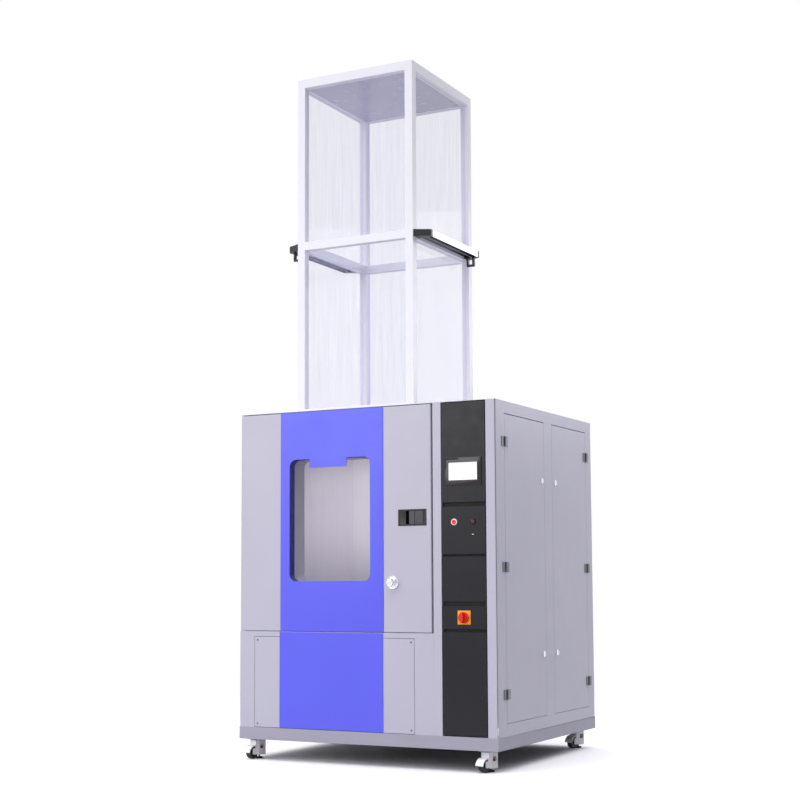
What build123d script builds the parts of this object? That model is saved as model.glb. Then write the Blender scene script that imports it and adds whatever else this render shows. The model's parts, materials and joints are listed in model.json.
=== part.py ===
"""Environmental test chamber: an insulated steel cabinet on four levelling casters, with a
windowed main door, a dark control column, two service doors on its right side and a tall
tower of clear panels that opens into the chamber through the roof.

It is modelled in cabinet coordinates, in millimetres. x runs from -BODY_W at the left side
to 0 at the right side, y from 0 at the front face to BODY_D at the back, and z = 0 is the
underside of the body. The finished pieces are then moved so that the origin is on the floor
under the middle of the whole machine.
"""
from build123d import *
import math
import os

os.makedirs("parts", exist_ok=True)

# Cabinet body.
BODY_W = 1520.0
BODY_D = 1355.0
BODY_H = 1750.0
PLINTH_H = 65.0
BEAM_W = 60.0
BEAM_WALL = 4.0
SKIRT_T = 3.0
SHEET = 2.0
POST_DEPTH = 103.0
ROOF_GAP = 3.0

# Clearances: FIT between pieces that seat in one another, RUN_FIT for shafts that turn.
FIT = 0.3
RUN_FIT = 0.05
PANEL_GAP = 2.0

# Widths along the front, from the right side to the left.
RIGHT_POST_W = 54.0
COLUMN_W = 251.0
MID_POST_W = 46.0
DOOR_GAP = 11.0

# Heights of the rail under the main door.
RAIL_Z0 = 548.0
RAIL_H = 27.0

# Main door.
DOOR_T = 95.0
PLUG_T = 60.0
PLUG_GAP = 10.0
SEAL_SPACE = 8.0
SEAL_W = 25.0
SEAL_INSET = 12.0
DOOR_EDGE = 3.0

# Blue cover on the door and the window in it, as margins from the door's edges.
COVER_T = 3.0
COVER_LEFT = 255.0
COVER_RIGHT = 275.0
WINDOW_LEFT = 58.0
WINDOW_RIGHT = 79.0
WINDOW_BOTTOM = 264.0
WINDOW_TOP = 255.0
WINDOW_R = 38.0
LINING_T = 3.0
REVEAL = 47.0
PANE_T = 6.0
TAB_W = 228.0
TAB_H = 46.0
TAB_SHIFT = -8.5

# Flush handle, measured from the door's right edge and from the rail.
HANDLE_RIGHT = 26.0
HANDLE_W = 163.0
HANDLE_H = 85.0
HANDLE_RISE = 587.0
HANDLE_DEPTH = 32.0
HANDLE_FRAME = 5.0
HANDLE_LIP = 2.5
HANDLE_WALL = 3.0
HANDLE_CELL = 37.0
FINGER_GAP = 19.0
PADDLE_T = 6.0
PADDLE_BARREL_R = 7.0
PADDLE_PIN_R = 2.5
GRIP_W = 29.0

# Round knob under the handle.
KNOB_RIGHT = 222.0
KNOB_RISE = 256.0
KNOB_PROUD = 42.0
KNOB_R = 26.0
KNOB_NECK_R = 12.0
KNOB_SHANK = 30.0
ROSE_R = 35.0
ROSE_T = 7.0

# Main door hinges.
DOOR_HINGE_R = 10.0
DOOR_HINGE_PIN_R = 5.0
DOOR_HINGE_T = 4.0
DOOR_HINGE_LEAF = 62.0
DOOR_HINGE_H = 120.0
DOOR_HINGE_MARGIN = 190.0

# Chamber: walls around it, its air channel and the liner.
WALL_LEFT = 120.0
WALL_RIGHT = 138.0
CHAMBER_SILL = 105.0
CHAMBER_HEAD = 110.0
CHANNEL_D = 147.0
WALL = 98.0
REAR_SPACE = 75.0
LINER_T = 2.0
BAFFLE_GAP = 40.0
THROAT = 400.0

# Tower on the roof.
TOWER_W = 727.0
TOWER_FRONT = 250.0
TOWER_BACK = 346.0
TOWER_H = 1930.0
TUBE = 45.0
TUBE_WALL = 2.5
TOP_RAIL_H = 50.0
MID_RAIL_Z = 944.0
PANEL_T = 5.0
PANEL_INSET = 18.0
TOP_SHEET_T = 3.0

# Rails on the tower's left and right sides.
SIDE_RAIL_W = 86.0
SIDE_RAIL_H = 37.0
SIDE_RAIL_Z = 950.0
SIDE_RAIL_START = 5.0
SIDE_RAIL_SLANT = 43.0
SIDE_RAIL_END = 84.0
SIDE_RAIL_T = 4.0
CAP_T = 24.0
HOOK_OUT = 14.0
HOOK_W = 46.0
HOOK_DROP = 50.0
HOOK_T = 11.0

# Control column: panel heights from the plinth up, and the gap above each.
PANEL_STACK = ((512.0, 16.0), (115.0, 22.0), (225.0, 13.0), (240.0, 22.0))
COLUMN_TOP_GAP = 6.0
COLUMN_FOOT_GAP = 5.0
COLUMN_EDGE = 4.0
PANEL_FOLD = 18.0
SCREEN_W = 205.0
SCREEN_H = 144.0
SCREEN_DROP = 281.0
SCREEN_PROUD = 6.0
SCREEN_BODY_W = 184.0
SCREEN_BODY_H = 124.0
SCREEN_BODY_D = 42.0
GLASS_W = 157.0
GLASS_H = 89.0
GLASS_RECESS = 2.0
BUTTON_SPREAD = 52.0
BUTTON_DROP = 78.0
BEZEL_R = 17.0
BEZEL_PROUD = 5.0
BARREL_R = 13.5
BARREL_D = 40.0
BUTTON_R = 11.0
BUTTON_PROUD = 3.0
BUTTON_TRAVEL = 4.0
BUTTON_L = 32.0
PORT_DROP = 141.0
PORT_W = 28.0
PORT_H = 12.0
ISOLATOR_W = 72.0
ISOLATOR_H = 70.0
ISOLATOR_T = 4.0
ISOLATOR_BODY = 46.0
ISOLATOR_BODY_D = 55.0
ISOLATOR_RING_R = 32.0
ISOLATOR_RING_T = 4.0
DIAL_R = 29.0
DIAL_T = 9.0
DIAL_GRIP_W = 15.0
DIAL_GRIP_H = 16.0
DIAL_SHAFT_R = 6.0

# Lower front panel and its blue cover, as margins from the door's edges.
LOWER_LEFT = 91.0
LOWER_RIGHT = 99.0
LOWER_COVER_LEFT = 251.0
LOWER_COVER_RIGHT = 280.0
LOWER_COVER_RISE = 24.5
STILE_D = 40.0
SCREW_R = 5.0
SCREW_T = 2.0
SCREW_INSET = 20.0

# Right side: service doors between the front strip, centre post and rear post.
SIDE_FRONT = 112.0
SIDE_BACK = 87.0
SIDE_POST_W = 111.0
SIDE_POST_SHIFT = 6.5
SIDE_SILL = 127.0
SIDE_HEAD = 62.0
SIDE_DOOR_FOLD = 20.0
FRAME_FOLD = 24.0
SIDE_TOP_GAP = 4.0
SIDE_HINGE_R = 6.0
SIDE_HINGE_PIN_R = 3.0
SIDE_HINGE_T = 3.0
SIDE_HINGE_LEAF = 39.0
SIDE_HINGE_H = 50.0
SIDE_HINGE_MARGIN = 145.0
LOCK_INSET = 37.0
LOCK_LOW = 324.0
LOCK_HIGH = 318.0
LOCK_HEAD_R = 15.0
LOCK_PROUD = 8.0
LOCK_SHANK_R = 9.0
TONGUE_L = 52.0
TONGUE_W = 16.0
TONGUE_T = 3.0

# Levelling casters.
CASTER_H = 108.0
CASTER_TURN = 73.0
CASTER_INSET = 75.0
CASTER_PLATE = 90.0
CASTER_PLATE_T = 6.0
KINGPIN_R = 12.0
KINGPIN_L = 8.0
HOUSING_W = 52.0
HOUSING_FRONT = 28.0
HOUSING_BACK = 30.0
HOUSING_Z0 = 88.0
WHEEL_R = 31.5
WHEEL_W = 32.0
WHEEL_TRAIL = 50.0
WHEEL_LIFT = 2.0
WHEEL_CLEAR = 3.0
FENDER_T = 5.0
FORK_STEP = 1.5
AXLE_R = 4.0
PAD_R = 19.0
PAD_T = 9.0
STEM_R = 5.0
THUMB_R = 21.0
THUMB_T = 12.0
THUMB_Z = 52.0
FOOT_TRAVEL = 10.0
WINDOW_CUT = 29.0

# Evaporator and heater rods in the air channel.
COIL_CLEAR = 12.0
COIL_PLATE_T = 3.0
COIL_PLATE_H = 480.0
COIL_RISE = 40.0
COIL_H = 300.0
COIL_INSET = 10.0
COIL_GROOVES = 11
COIL_GROOVE_H = 4.0
HEATER_RISE = 410.0
HEATER_R = 6.0
HEATER_PITCH = 30.0

# Compressor and liquid receiver on their base plate.
MACHINE_PLATE_T = 5.0
MACHINE_PLATE_D = 500.0
MACHINE_INSET = 10.0
MACHINE_SHIFT = 22.5
COMP_SHIFT = 60.0
COMP_R = 98.0
COMP_H = 280.0
COMP_DOME = 45.0
COMP_FOOT_W = 220.0
COMP_FOOT_T = 5.0
COMP_MOUNT_R = 14.0
COMP_MOUNT_H = 10.0
RECEIVER_SHIFT = 210.0
RECEIVER_R = 50.0
RECEIVER_H = 275.0
RECEIVER_DOME = 25.0

# Electrical board on the chamber's right wall.
BOARD_T = 3.0
BOARD_FRONT = 78.0
BOARD_BACK = 41.0
BOARD_RISE = 100.0
BOARD_H = 780.0
BREAKER_D = 60.0
CONTACTOR_D = 75.0
TERMINAL_D = 45.0
DUCT_D = 55.0
DRIVE_D = 90.0

# Fans, condenser, louvres and cable gland.
FAN_R = 150.0
FAN_DEPTH = 80.0
FAN_BLADES = 14
FAN_DROP = 200.0
SHAFT_R = 8.0
MOTOR_R = 52.0
MOTOR_L = 60.0
COND_W = 420.0
COND_H = 400.0
COND_T = 70.0
COND_BACK = 40.0
COND_SIDE = 40.0
COND_RING = 20.0
COND_MOTOR_R = 42.0
COND_MOTOR_L = 60.0
COND_STRUT_W = 24.0
COND_STRUT_T = 4.0
COND_GROOVES = 15
COND_GROOVE_H = 6.0
COND_FRAME = 12.0
COND_PLATE_FRONT = 180.0
COND_FAN_R = 175.0
COND_FAN_T = 40.0
COND_BLADES = 6
LOUVRES = 12
LOUVRE_L = 190.0
LOUVRE_H = 9.0
GLAND_PROUD = 25.0
GLAND_R = 14.0
GLAND_Z = 180.0
GLAND_X = 240.0

# Places along the front.
COLUMN_R = -RIGHT_POST_W
COLUMN_L = COLUMN_R - COLUMN_W
COLUMN_C = (COLUMN_L + COLUMN_R) / 2
MID_POST_L = COLUMN_L - MID_POST_W
DOOR_R = MID_POST_L - DOOR_GAP
DOOR_L = -BODY_W
RAIL_Z1 = RAIL_Z0 + RAIL_H
DOOR_Z0 = RAIL_Z1 + PANEL_GAP
ROOF_Z0 = BODY_H - SHEET
DOOR_Z1 = ROOF_Z0 - ROOF_GAP
COVER_L = DOOR_L + COVER_LEFT
COVER_R = DOOR_R - COVER_RIGHT
WIN_L = COVER_L + WINDOW_LEFT
WIN_R = COVER_R - WINDOW_RIGHT
WIN_Z0 = DOOR_Z0 + WINDOW_BOTTOM
WIN_Z1 = DOOR_Z1 - WINDOW_TOP
JAMB_Y0 = DOOR_T + SEAL_SPACE
MOUTH_Y = DOOR_T + PLUG_T

# Places of the chamber.
CH_L = DOOR_L + WALL_LEFT
CH_R = DOOR_R - WALL_RIGHT
CH_C = (CH_L + CH_R) / 2
CH_Z0 = RAIL_Z1 + CHAMBER_SILL
CH_Z1 = BODY_H - CHAMBER_HEAD
BAFFLE_Y = BODY_D - REAR_SPACE - WALL - LINER_T - CHANNEL_D
LINER_Y1 = BAFFLE_Y + CHANNEL_D
INS_Y1 = LINER_Y1 + LINER_T + WALL
BAY_X = CH_R + WALL + LINER_T

# Places of the tower and of the throat under it.
TW_L = CH_C - TOWER_W / 2
TW_R = CH_C + TOWER_W / 2
TW_F = TOWER_FRONT
TW_B = BODY_D - TOWER_BACK
TW_Z1 = BODY_H + TOWER_H
TH_L = CH_C - THROAT / 2
TH_R = CH_C + THROAT / 2
TH_F = (TW_F + TW_B - THROAT) / 2
TH_B = TH_F + THROAT
FAN_Z = CH_Z1 - FAN_DROP

# Places along the right side.
SIDE_REAR = BODY_D - SIDE_BACK
SIDE_CENTRE_0 = (SIDE_FRONT + SIDE_REAR - SIDE_POST_W) / 2 + SIDE_POST_SHIFT
SIDE_CENTRE_1 = SIDE_CENTRE_0 + SIDE_POST_W

# The whole machine's outer limits, which place the origin.
DOOR_HINGE_X = -BODY_W - FIT - DOOR_HINGE_R
DOOR_HINGE_Y = DOOR_T + SEAL_SPACE / 2
SIDE_HINGE_X = FIT + SIDE_HINGE_R
LEFT_LIMIT = DOOR_HINGE_X - DOOR_HINGE_R
RIGHT_LIMIT = SIDE_HINGE_X + SIDE_HINGE_R
ORIGIN_X = (LEFT_LIMIT + RIGHT_LIMIT) / 2
ORIGIN_Y = (BODY_D + GLAND_PROUD - KNOB_PROUD) / 2
PLACE = Pos(-ORIGIN_X, -ORIGIN_Y, CASTER_H)


def block(x0, x1, y0, y1, z0, z1):
    """A box between two corners."""
    centre = Pos((x0 + x1) / 2, (y0 + y1) / 2, (z0 + z1) / 2)
    return centre * Box(x1 - x0, y1 - y0, z1 - z0)


def rod_x(x0, x1, y, z, r):
    """A round bar along x."""
    return Pos((x0 + x1) / 2, y, z) * Cylinder(r, x1 - x0, rotation=(0, 90, 0))


def rod_y(y0, y1, x, z, r):
    """A round bar along y."""
    return Pos(x, (y0 + y1) / 2, z) * Cylinder(r, y1 - y0, rotation=(90, 0, 0))


def rod_z(z0, z1, x, y, r):
    """A round bar along z."""
    return Pos(x, y, (z0 + z1) / 2) * Cylinder(r, z1 - z0)


def front_prism(outline, x, z, y0, y1):
    """A sketch seen from the front, centred on x and z and carried from y0 to y1."""
    return extrude(Plane((x, y1, z), x_dir=(1, 0, 0), z_dir=(0, -1, 0)) * outline, amount=y1 - y0)


def window_prism(grow, y0, y1):
    """The door's window outline, grown all round, as a solid from y0 to y1."""
    outline = RectangleRounded(WIN_R - WIN_L + 2 * grow, WIN_Z1 - WIN_Z0 + 2 * grow, WINDOW_R + grow)
    return front_prism(outline, (WIN_L + WIN_R) / 2, (WIN_Z0 + WIN_Z1) / 2, y0, y1)


def tray(x0, x1, y0, y1, z0, z1, open_to, t=SHEET):
    """A folded sheet tray: a box with one side open, named as x+, x-, y+ or y-."""
    inner = {
        "x-": (x0 - t, x1 - t, y0 + t, y1 - t, z0 + t, z1 - t),
        "x+": (x0 + t, x1 + t, y0 + t, y1 - t, z0 + t, z1 - t),
        "y+": (x0 + t, x1 - t, y0 + t, y1 + t, z0 + t, z1 - t),
        "y-": (x0 + t, x1 - t, y0 - t, y1 - t, z0 + t, z1 - t),
    }[open_to]
    return block(x0, x1, y0, y1, z0, z1) - block(*inner)


def tube(x0, x1, y0, y1, z0, z1, along, w=TUBE_WALL):
    """A square tube between two corners, its bore along x, y or z."""
    grow = {"x": (-1, w, w), "y": (w, -1, w), "z": (w, w, -1)}[along]
    bore = block(x0 + grow[0], x1 - grow[0], y0 + grow[1], y1 - grow[1], z0 + grow[2], z1 - grow[2])
    return block(x0, x1, y0, y1, z0, z1) - bore


def butt_hinge(x, y, z, out, move, r, pin_r, leaf_t, leaf, height):
    """A three-knuckle hinge with an upright pin at x, y and its middle at z.

    out is the unit direction away from the surface and move the one towards the moving
    leaf. Returns the fixed half, with its pin, and the moving half with the middle knuckle.
    """
    third = height / 3
    z0 = z - height / 2

    def plate(u0, u1, za, zb):
        xs = sorted(x + move[0] * u + out[0] * v for u in (u0, u1) for v in (-r, leaf_t - r))
        ys = sorted(y + move[1] * u + out[1] * v for u in (u0, u1) for v in (-r, leaf_t - r))
        return block(xs[0], xs[-1], ys[0], ys[-1], za, zb)

    fixed = plate(-leaf, -r - 1, z0, z0 + height) + rod_z(z0, z0 + height, x, y, pin_r)
    for step in (0, 2):
        low = z0 + step * third
        fixed += plate(-r - 1, 0, low, low + third) + rod_z(low, low + third, x, y, r)
    low, high = z0 + third + FIT, z0 + 2 * third - FIT
    moving = plate(r + 1, leaf, z0, z0 + height) + plate(0, r + 1, low, high)
    moving += rod_z(low, high, x, y, r)
    return fixed, moving - rod_z(z0, z0 + height, x, y, pin_r + RUN_FIT)


def door_hinges():
    """The main door's three hinges at the cabinet's left edge, as fixed and moving halves."""
    span = DOOR_Z1 - DOOR_Z0 - 2 * DOOR_HINGE_MARGIN
    heights = [DOOR_Z0 + DOOR_HINGE_MARGIN + span * i / 2 for i in range(3)]
    return [
        butt_hinge(DOOR_HINGE_X, DOOR_HINGE_Y, z, (-1, 0), (0, -1), DOOR_HINGE_R,
                   DOOR_HINGE_PIN_R, DOOR_HINGE_T, DOOR_HINGE_LEAF, DOOR_HINGE_H)
        for z in heights
    ]


def side_hinges(y, move):
    """Three hinges of one service door, as fixed and moving halves."""
    low = SIDE_SILL + SIDE_HINGE_MARGIN
    high = BODY_H - SIDE_HEAD - SIDE_HINGE_MARGIN
    return [
        butt_hinge(SIDE_HINGE_X, y, low + (high - low) * i / 2, (1, 0), (0, move), SIDE_HINGE_R,
                   SIDE_HINGE_PIN_R, SIDE_HINGE_T, SIDE_HINGE_LEAF, SIDE_HINGE_H)
        for i in range(3)
    ]


def caster_spots():
    """The four swivel axes, named front and rear, left and right."""
    left, right = -BODY_W + CASTER_INSET, -CASTER_INSET
    front, rear = CASTER_INSET, BODY_D - CASTER_INSET
    return {"fl": (left, front), "fr": (right, front), "rl": (left, rear), "rr": (right, rear)}


def cross_beams():
    """The left edges of the two beams that cross the base frame."""
    return [-BODY_W + (BODY_W - BEAM_W) * i / 3 for i in (1, 2)]


def base_frame():
    """Perimeter beams and cross beams, the plinth skirt around them, and the caster plates."""
    w = BEAM_WALL
    solids = [
        tube(-BODY_W, 0, 0, BEAM_W, 0, PLINTH_H, "x", w),
        tube(-BODY_W, 0, BODY_D - BEAM_W, BODY_D, 0, PLINTH_H, "x", w),
    ]
    for x in [-BODY_W] + cross_beams() + [-BEAM_W]:
        solids.append(tube(x, x + BEAM_W, BEAM_W, BODY_D - BEAM_W, 0, PLINTH_H, "y", w))
    t = SKIRT_T
    solids += ring_of_blocks(-BODY_W - t, t, -t, BODY_D + t, (-BODY_W, 0, 0, BODY_D), 0, PLINTH_H)
    half = CASTER_PLATE / 2
    for x, y in caster_spots().values():
        plate = block(x - half, x + half, y - half, y + half, -CASTER_PLATE_T, 0)
        plate += rod_z(-CASTER_PLATE_T - KINGPIN_L, -CASTER_PLATE_T, x, y, KINGPIN_R)
        solids.append(plate)
    return solids


def body_frame():
    """Painted posts, rails and headers, each a folded channel."""
    top = ROOF_Z0
    fold = FRAME_FOLD
    right_post = block(-RIGHT_POST_W, 0, 0, SIDE_FRONT, PLINTH_H, top)
    right_post = fillet(right_post.edges().filter_by(Axis.Z).sort_by_distance((0, 0, top / 2))[0], 9)
    right_post -= block(-RIGHT_POST_W + SHEET, -SHEET, SHEET, SIDE_FRONT + SHEET, PLINTH_H - 1, top + 1)
    return [
        right_post,
        tray(-fold, 0, SIDE_CENTRE_0, SIDE_CENTRE_1, SIDE_SILL, BODY_H - SIDE_HEAD, "x-"),
        tray(-RIGHT_POST_W, 0, SIDE_REAR, BODY_D - SHEET, PLINTH_H, top, "x-"),
        tray(-fold, 0, SIDE_FRONT, SIDE_REAR, BODY_H - SIDE_HEAD, top, "x-"),
        tray(-fold, 0, SIDE_FRONT, SIDE_REAR, PLINTH_H, SIDE_SILL, "x-"),
        tray(MID_POST_L, COLUMN_L, 0, JAMB_Y0, PLINTH_H, top, "y+"),
        tray(-BODY_W, MID_POST_L, 0, JAMB_Y0, RAIL_Z0, RAIL_Z1, "y+"),
        tray(-BODY_W, DOOR_L + LOWER_LEFT, 0, STILE_D, PLINTH_H, RAIL_Z0, "y+"),
        tray(DOOR_R - LOWER_RIGHT, MID_POST_L, 0, STILE_D, PLINTH_H, RAIL_Z0, "y+"),
        tray(-BODY_W + SHEET, -BODY_W + RIGHT_POST_W, INS_Y1, BODY_D - SHEET, PLINTH_H, top, "x+"),
    ]


def left_side_panel():
    """The left side sheet, from the door jamb to the back."""
    return [block(-BODY_W, -BODY_W + SHEET, JAMB_Y0, BODY_D - SHEET, PLINTH_H, ROOF_Z0)]


def condenser_place():
    """The condenser's centre along x and its back face."""
    return -BODY_W + BEAM_W + COND_W / 2 + COND_SIDE, INS_Y1 - COND_BACK


def rear_panel():
    """The rear sheet, with two columns of louvre slots behind the condenser."""
    sheet = block(-BODY_W, 0, BODY_D - SHEET, BODY_D, PLINTH_H, ROOF_Z0)
    centre, _ = condenser_place()
    pitch = COND_H / LOUVRES
    for column in (-0.5, 0.5):
        x = centre + column * (LOUVRE_L + 25)
        for row in range(LOUVRES):
            z = PLINTH_H + 60 + pitch * row
            sheet -= block(x - LOUVRE_L / 2, x + LOUVRE_L / 2, BODY_D - SHEET - 1, BODY_D + 1,
                           z, z + LOUVRE_H)
    return [sheet - rod_y(BODY_D - SHEET - 1, BODY_D + 1, -GLAND_X, GLAND_Z, GLAND_R * 0.72 + FIT)]


def ring_of_blocks(x0, x1, y0, y1, hole, z0, z1):
    """A flat plate around a rectangular hole, as four strips that meet edge to edge."""
    hx0, hx1, hy0, hy1 = hole
    return [
        block(x0, x1, y0, hy0, z0, z1),
        block(x0, x1, hy1, y1, z0, z1),
        block(x0, hx0, hy0, hy1, z0, z1),
        block(hx1, x1, hy0, hy1, z0, z1),
    ]


def throat_hole():
    """The throat's outer outline, liner included."""
    return TH_L - LINER_T, TH_R + LINER_T, TH_F - LINER_T, TH_B + LINER_T


def roof_panel():
    """The roof sheet around the throat, welded from four strips."""
    return ring_of_blocks(-BODY_W, 0, 0, BODY_D, throat_hole(), ROOF_Z0, BODY_H)


def door_jamb():
    """The insulated frame around the chamber's mouth, which the door seal meets."""
    return [
        block(-BODY_W + SHEET, CH_L, JAMB_Y0, MOUTH_Y, RAIL_Z1, ROOF_Z0),
        block(CH_R, MID_POST_L, JAMB_Y0, MOUTH_Y, RAIL_Z1, ROOF_Z0),
        block(CH_L, CH_R, JAMB_Y0, MOUTH_Y, CH_Z1, ROOF_Z0),
        block(CH_L, CH_R, JAMB_Y0, MOUTH_Y, RAIL_Z1, CH_Z0),
    ]


def insulation():
    """Foam around the liner, with a hole for the fan shaft and the throat left open."""
    t = LINER_T
    low = CH_Z0 - t - WALL
    rear = block(CH_L - t, CH_R + t, LINER_Y1 + t, INS_Y1, CH_Z0 - t, CH_Z1 + t)
    solids = [
        block(-BODY_W + SHEET, CH_L - t, MOUTH_Y, INS_Y1, low, ROOF_Z0),
        block(CH_R + t, BAY_X, MOUTH_Y, INS_Y1, low, ROOF_Z0),
        block(CH_L - t, CH_R + t, MOUTH_Y, INS_Y1, low, CH_Z0 - t),
        rear - rod_y(LINER_Y1, INS_Y1 + 1, CH_C, FAN_Z, 2 * SHAFT_R),
    ]
    return solids + ring_of_blocks(CH_L - t, CH_R + t, MOUTH_Y, INS_Y1, throat_hole(), CH_Z1 + t,
                                   ROOF_Z0)


def chamber_liner():
    """Stainless sheets that line the chamber and the throat, and the air baffle at the back."""
    t = LINER_T
    back = block(CH_L, CH_R, LINER_Y1, LINER_Y1 + t, CH_Z0, CH_Z1)
    hx0, hx1, hy0, hy1 = throat_hole()
    solids = [
        block(CH_L - t, CH_L, MOUTH_Y, LINER_Y1 + t, CH_Z0 - t, CH_Z1 + t),
        block(CH_R, CH_R + t, MOUTH_Y, LINER_Y1 + t, CH_Z0 - t, CH_Z1 + t),
        block(CH_L, CH_R, MOUTH_Y, LINER_Y1 + t, CH_Z0 - t, CH_Z0),
        back - rod_y(LINER_Y1 - 1, LINER_Y1 + t + 1, CH_C, FAN_Z, 1.5 * SHAFT_R),
        block(CH_L, CH_R, BAFFLE_Y, BAFFLE_Y + t, CH_Z0 + BAFFLE_GAP, CH_Z1 - BAFFLE_GAP),
        block(hx0, TH_L, hy0, hy1, CH_Z1 + t, BODY_H),
        block(TH_R, hx1, hy0, hy1, CH_Z1 + t, BODY_H),
        block(TH_L, TH_R, hy0, TH_F, CH_Z1 + t, BODY_H),
        block(TH_L, TH_R, TH_B, hy1, CH_Z1 + t, BODY_H),
    ]
    opening = (TH_L, TH_R, TH_F, TH_B)
    return solids + ring_of_blocks(CH_L, CH_R, MOUTH_Y, LINER_Y1 + t, opening, CH_Z1, CH_Z1 + t)


def column_panels_z():
    """Bottom and top of each panel of the control column, from the plinth up."""
    spans = []
    z = PLINTH_H + COLUMN_FOOT_GAP
    for height, gap in PANEL_STACK:
        spans.append((z, z + height))
        z += height + gap
    return spans + [(z, BODY_H - COLUMN_TOP_GAP)]


def control_places():
    """Heights of the screen, buttons, port and isolator on the column."""
    spans = column_panels_z()
    return {
        "screen": spans[4][1] - SCREEN_DROP - SCREEN_H / 2,
        "buttons": spans[3][1] - BUTTON_DROP,
        "port": spans[3][1] - PORT_DROP,
        "isolator": (spans[1][0] + spans[1][1]) / 2,
    }


def centred(x, z, w, h, y0, y1):
    """A box seen from the front, centred on x and z."""
    return block(x - w / 2, x + w / 2, y0, y1, z - h / 2, z + h / 2)


def column_panels():
    """Five dark sheet trays, cut for the controls they carry."""
    places = control_places()
    holes = [
        (COLUMN_C, places["screen"], SCREEN_BODY_W, SCREEN_BODY_H),
        (COLUMN_C + BUTTON_SPREAD, places["port"], PORT_W - 8, PORT_H - 4),
        (COLUMN_C, places["isolator"], ISOLATOR_BODY, ISOLATOR_BODY),
    ]
    cuts = [centred(x, z, w + 2 * FIT, h + 2 * FIT, -1, SHEET + 1) for x, z, w, h in holes]
    for side in (-1, 1):
        x = COLUMN_C + side * BUTTON_SPREAD
        cuts.append(rod_y(-1, SHEET + 1, x, places["buttons"], BARREL_R + FIT))
    solids = []
    for z0, z1 in column_panels_z():
        panel = tray(COLUMN_L + COLUMN_EDGE, COLUMN_R - COLUMN_EDGE, 0, PANEL_FOLD, z0, z1, "y+")
        for cut in cuts:
            panel -= cut
        solids.append(panel)
    return solids


def column_backing():
    """The black tray behind the panels, which shows in the gaps between them."""
    places = control_places()
    back = block(COLUMN_L, COLUMN_R, PANEL_FOLD, PANEL_FOLD + SHEET, PLINTH_H, ROOF_Z0)
    back -= centred(COLUMN_C, places["screen"], SCREEN_BODY_W + 6, SCREEN_BODY_H + 6, PANEL_FOLD - 1, 30)
    back -= centred(COLUMN_C, places["isolator"], ISOLATOR_BODY + 6, ISOLATOR_BODY + 6, PANEL_FOLD - 1, 30)
    back -= centred(COLUMN_C, places["buttons"], 2 * (BUTTON_SPREAD + BARREL_R + 3), 2 * BARREL_R + 6,
                    PANEL_FOLD - 1, 30)
    return [back]


def touch_screen_frame():
    """The screen's bevelled frame, and its body behind the panel."""
    z = control_places()["screen"]
    frame = centred(COLUMN_C, z, SCREEN_W, SCREEN_H, -SCREEN_PROUD, 0)
    frame = chamfer(frame.faces().sort_by(Axis.Y)[0].edges(), 2.5)
    frame -= centred(COLUMN_C, z, GLASS_W + 2 * FIT, GLASS_H + 2 * FIT, -SCREEN_PROUD - 1,
                     -SCREEN_PROUD + GLASS_RECESS)
    return [frame + centred(COLUMN_C, z, SCREEN_BODY_W, SCREEN_BODY_H, 0, SCREEN_BODY_D)]


def touch_screen_glass():
    """The display's glass, seated in the frame's recess."""
    z = control_places()["screen"]
    return [centred(COLUMN_C, z, GLASS_W, GLASS_H, -SCREEN_PROUD + FIT, -SCREEN_PROUD + GLASS_RECESS)]


def control_fittings():
    """The two button bezels with their barrels, and the data port."""
    places = control_places()
    solids = []
    for side in (-1, 1):
        x, z = COLUMN_C + side * BUTTON_SPREAD, places["buttons"]
        ring = rod_y(-BEZEL_PROUD, 0, x, z, BEZEL_R)
        ring = chamfer(ring.edges().sort_by(Axis.Y)[0], 1.5)
        ring += rod_y(0, BARREL_D, x, z, BARREL_R)
        solids.append(ring - rod_y(-BEZEL_PROUD - 1, BARREL_D - 8, x, z, BUTTON_R + RUN_FIT))
    x, z = COLUMN_C + BUTTON_SPREAD, places["port"]
    port = centred(x, z, PORT_W, PORT_H, -1.5, 0) + centred(x, z, PORT_W - 8, PORT_H - 4, 0, 15)
    solids.append(port - centred(x, z, PORT_W - 14, PORT_H - 7, -2, 6))
    return solids


def push_button(side):
    """A button's plunger, which slides in its bezel."""
    x, z = COLUMN_C + side * BUTTON_SPREAD, control_places()["buttons"]
    front = -BEZEL_PROUD - BUTTON_PROUD
    plunger = rod_y(front, front + BUTTON_L, x, z, BUTTON_R)
    return [fillet(plunger.edges().sort_by(Axis.Y)[0], 1.5)]


def isolator_plate():
    """The isolator's front plate and ring, and its switch body behind the panel."""
    z = control_places()["isolator"]
    plate = centred(COLUMN_C, z, ISOLATOR_W, ISOLATOR_H, -ISOLATOR_T, 0)
    plate = chamfer(plate.faces().sort_by(Axis.Y)[0].edges(), 1.5)
    plate += rod_y(-ISOLATOR_T - ISOLATOR_RING_T, -ISOLATOR_T, COLUMN_C, z, ISOLATOR_RING_R)
    plate += centred(COLUMN_C, z, ISOLATOR_BODY, ISOLATOR_BODY, 0, ISOLATOR_BODY_D)
    return [plate - rod_y(-20, 24, COLUMN_C, z, DIAL_SHAFT_R + RUN_FIT)]


def isolator_knob():
    """The isolator's dial, with its raised grip and its shaft."""
    z = control_places()["isolator"]
    y1 = -ISOLATOR_T - ISOLATOR_RING_T - FIT
    y0 = y1 - DIAL_T
    dial = rod_y(y0, y1, COLUMN_C, z, DIAL_R)
    dial = chamfer(dial.edges().sort_by(Axis.Y)[0], 3)
    grip = SlotOverall(2 * DIAL_R - 7, DIAL_GRIP_W, rotation=90)
    grip = front_prism(grip, COLUMN_C, z, y0 - DIAL_GRIP_H, y0)
    grip = chamfer(grip.faces().sort_by(Axis.Y)[0].edges(), 1.5)
    return [dial, grip, rod_y(y1, 20, COLUMN_C, z, DIAL_SHAFT_R)]


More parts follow.
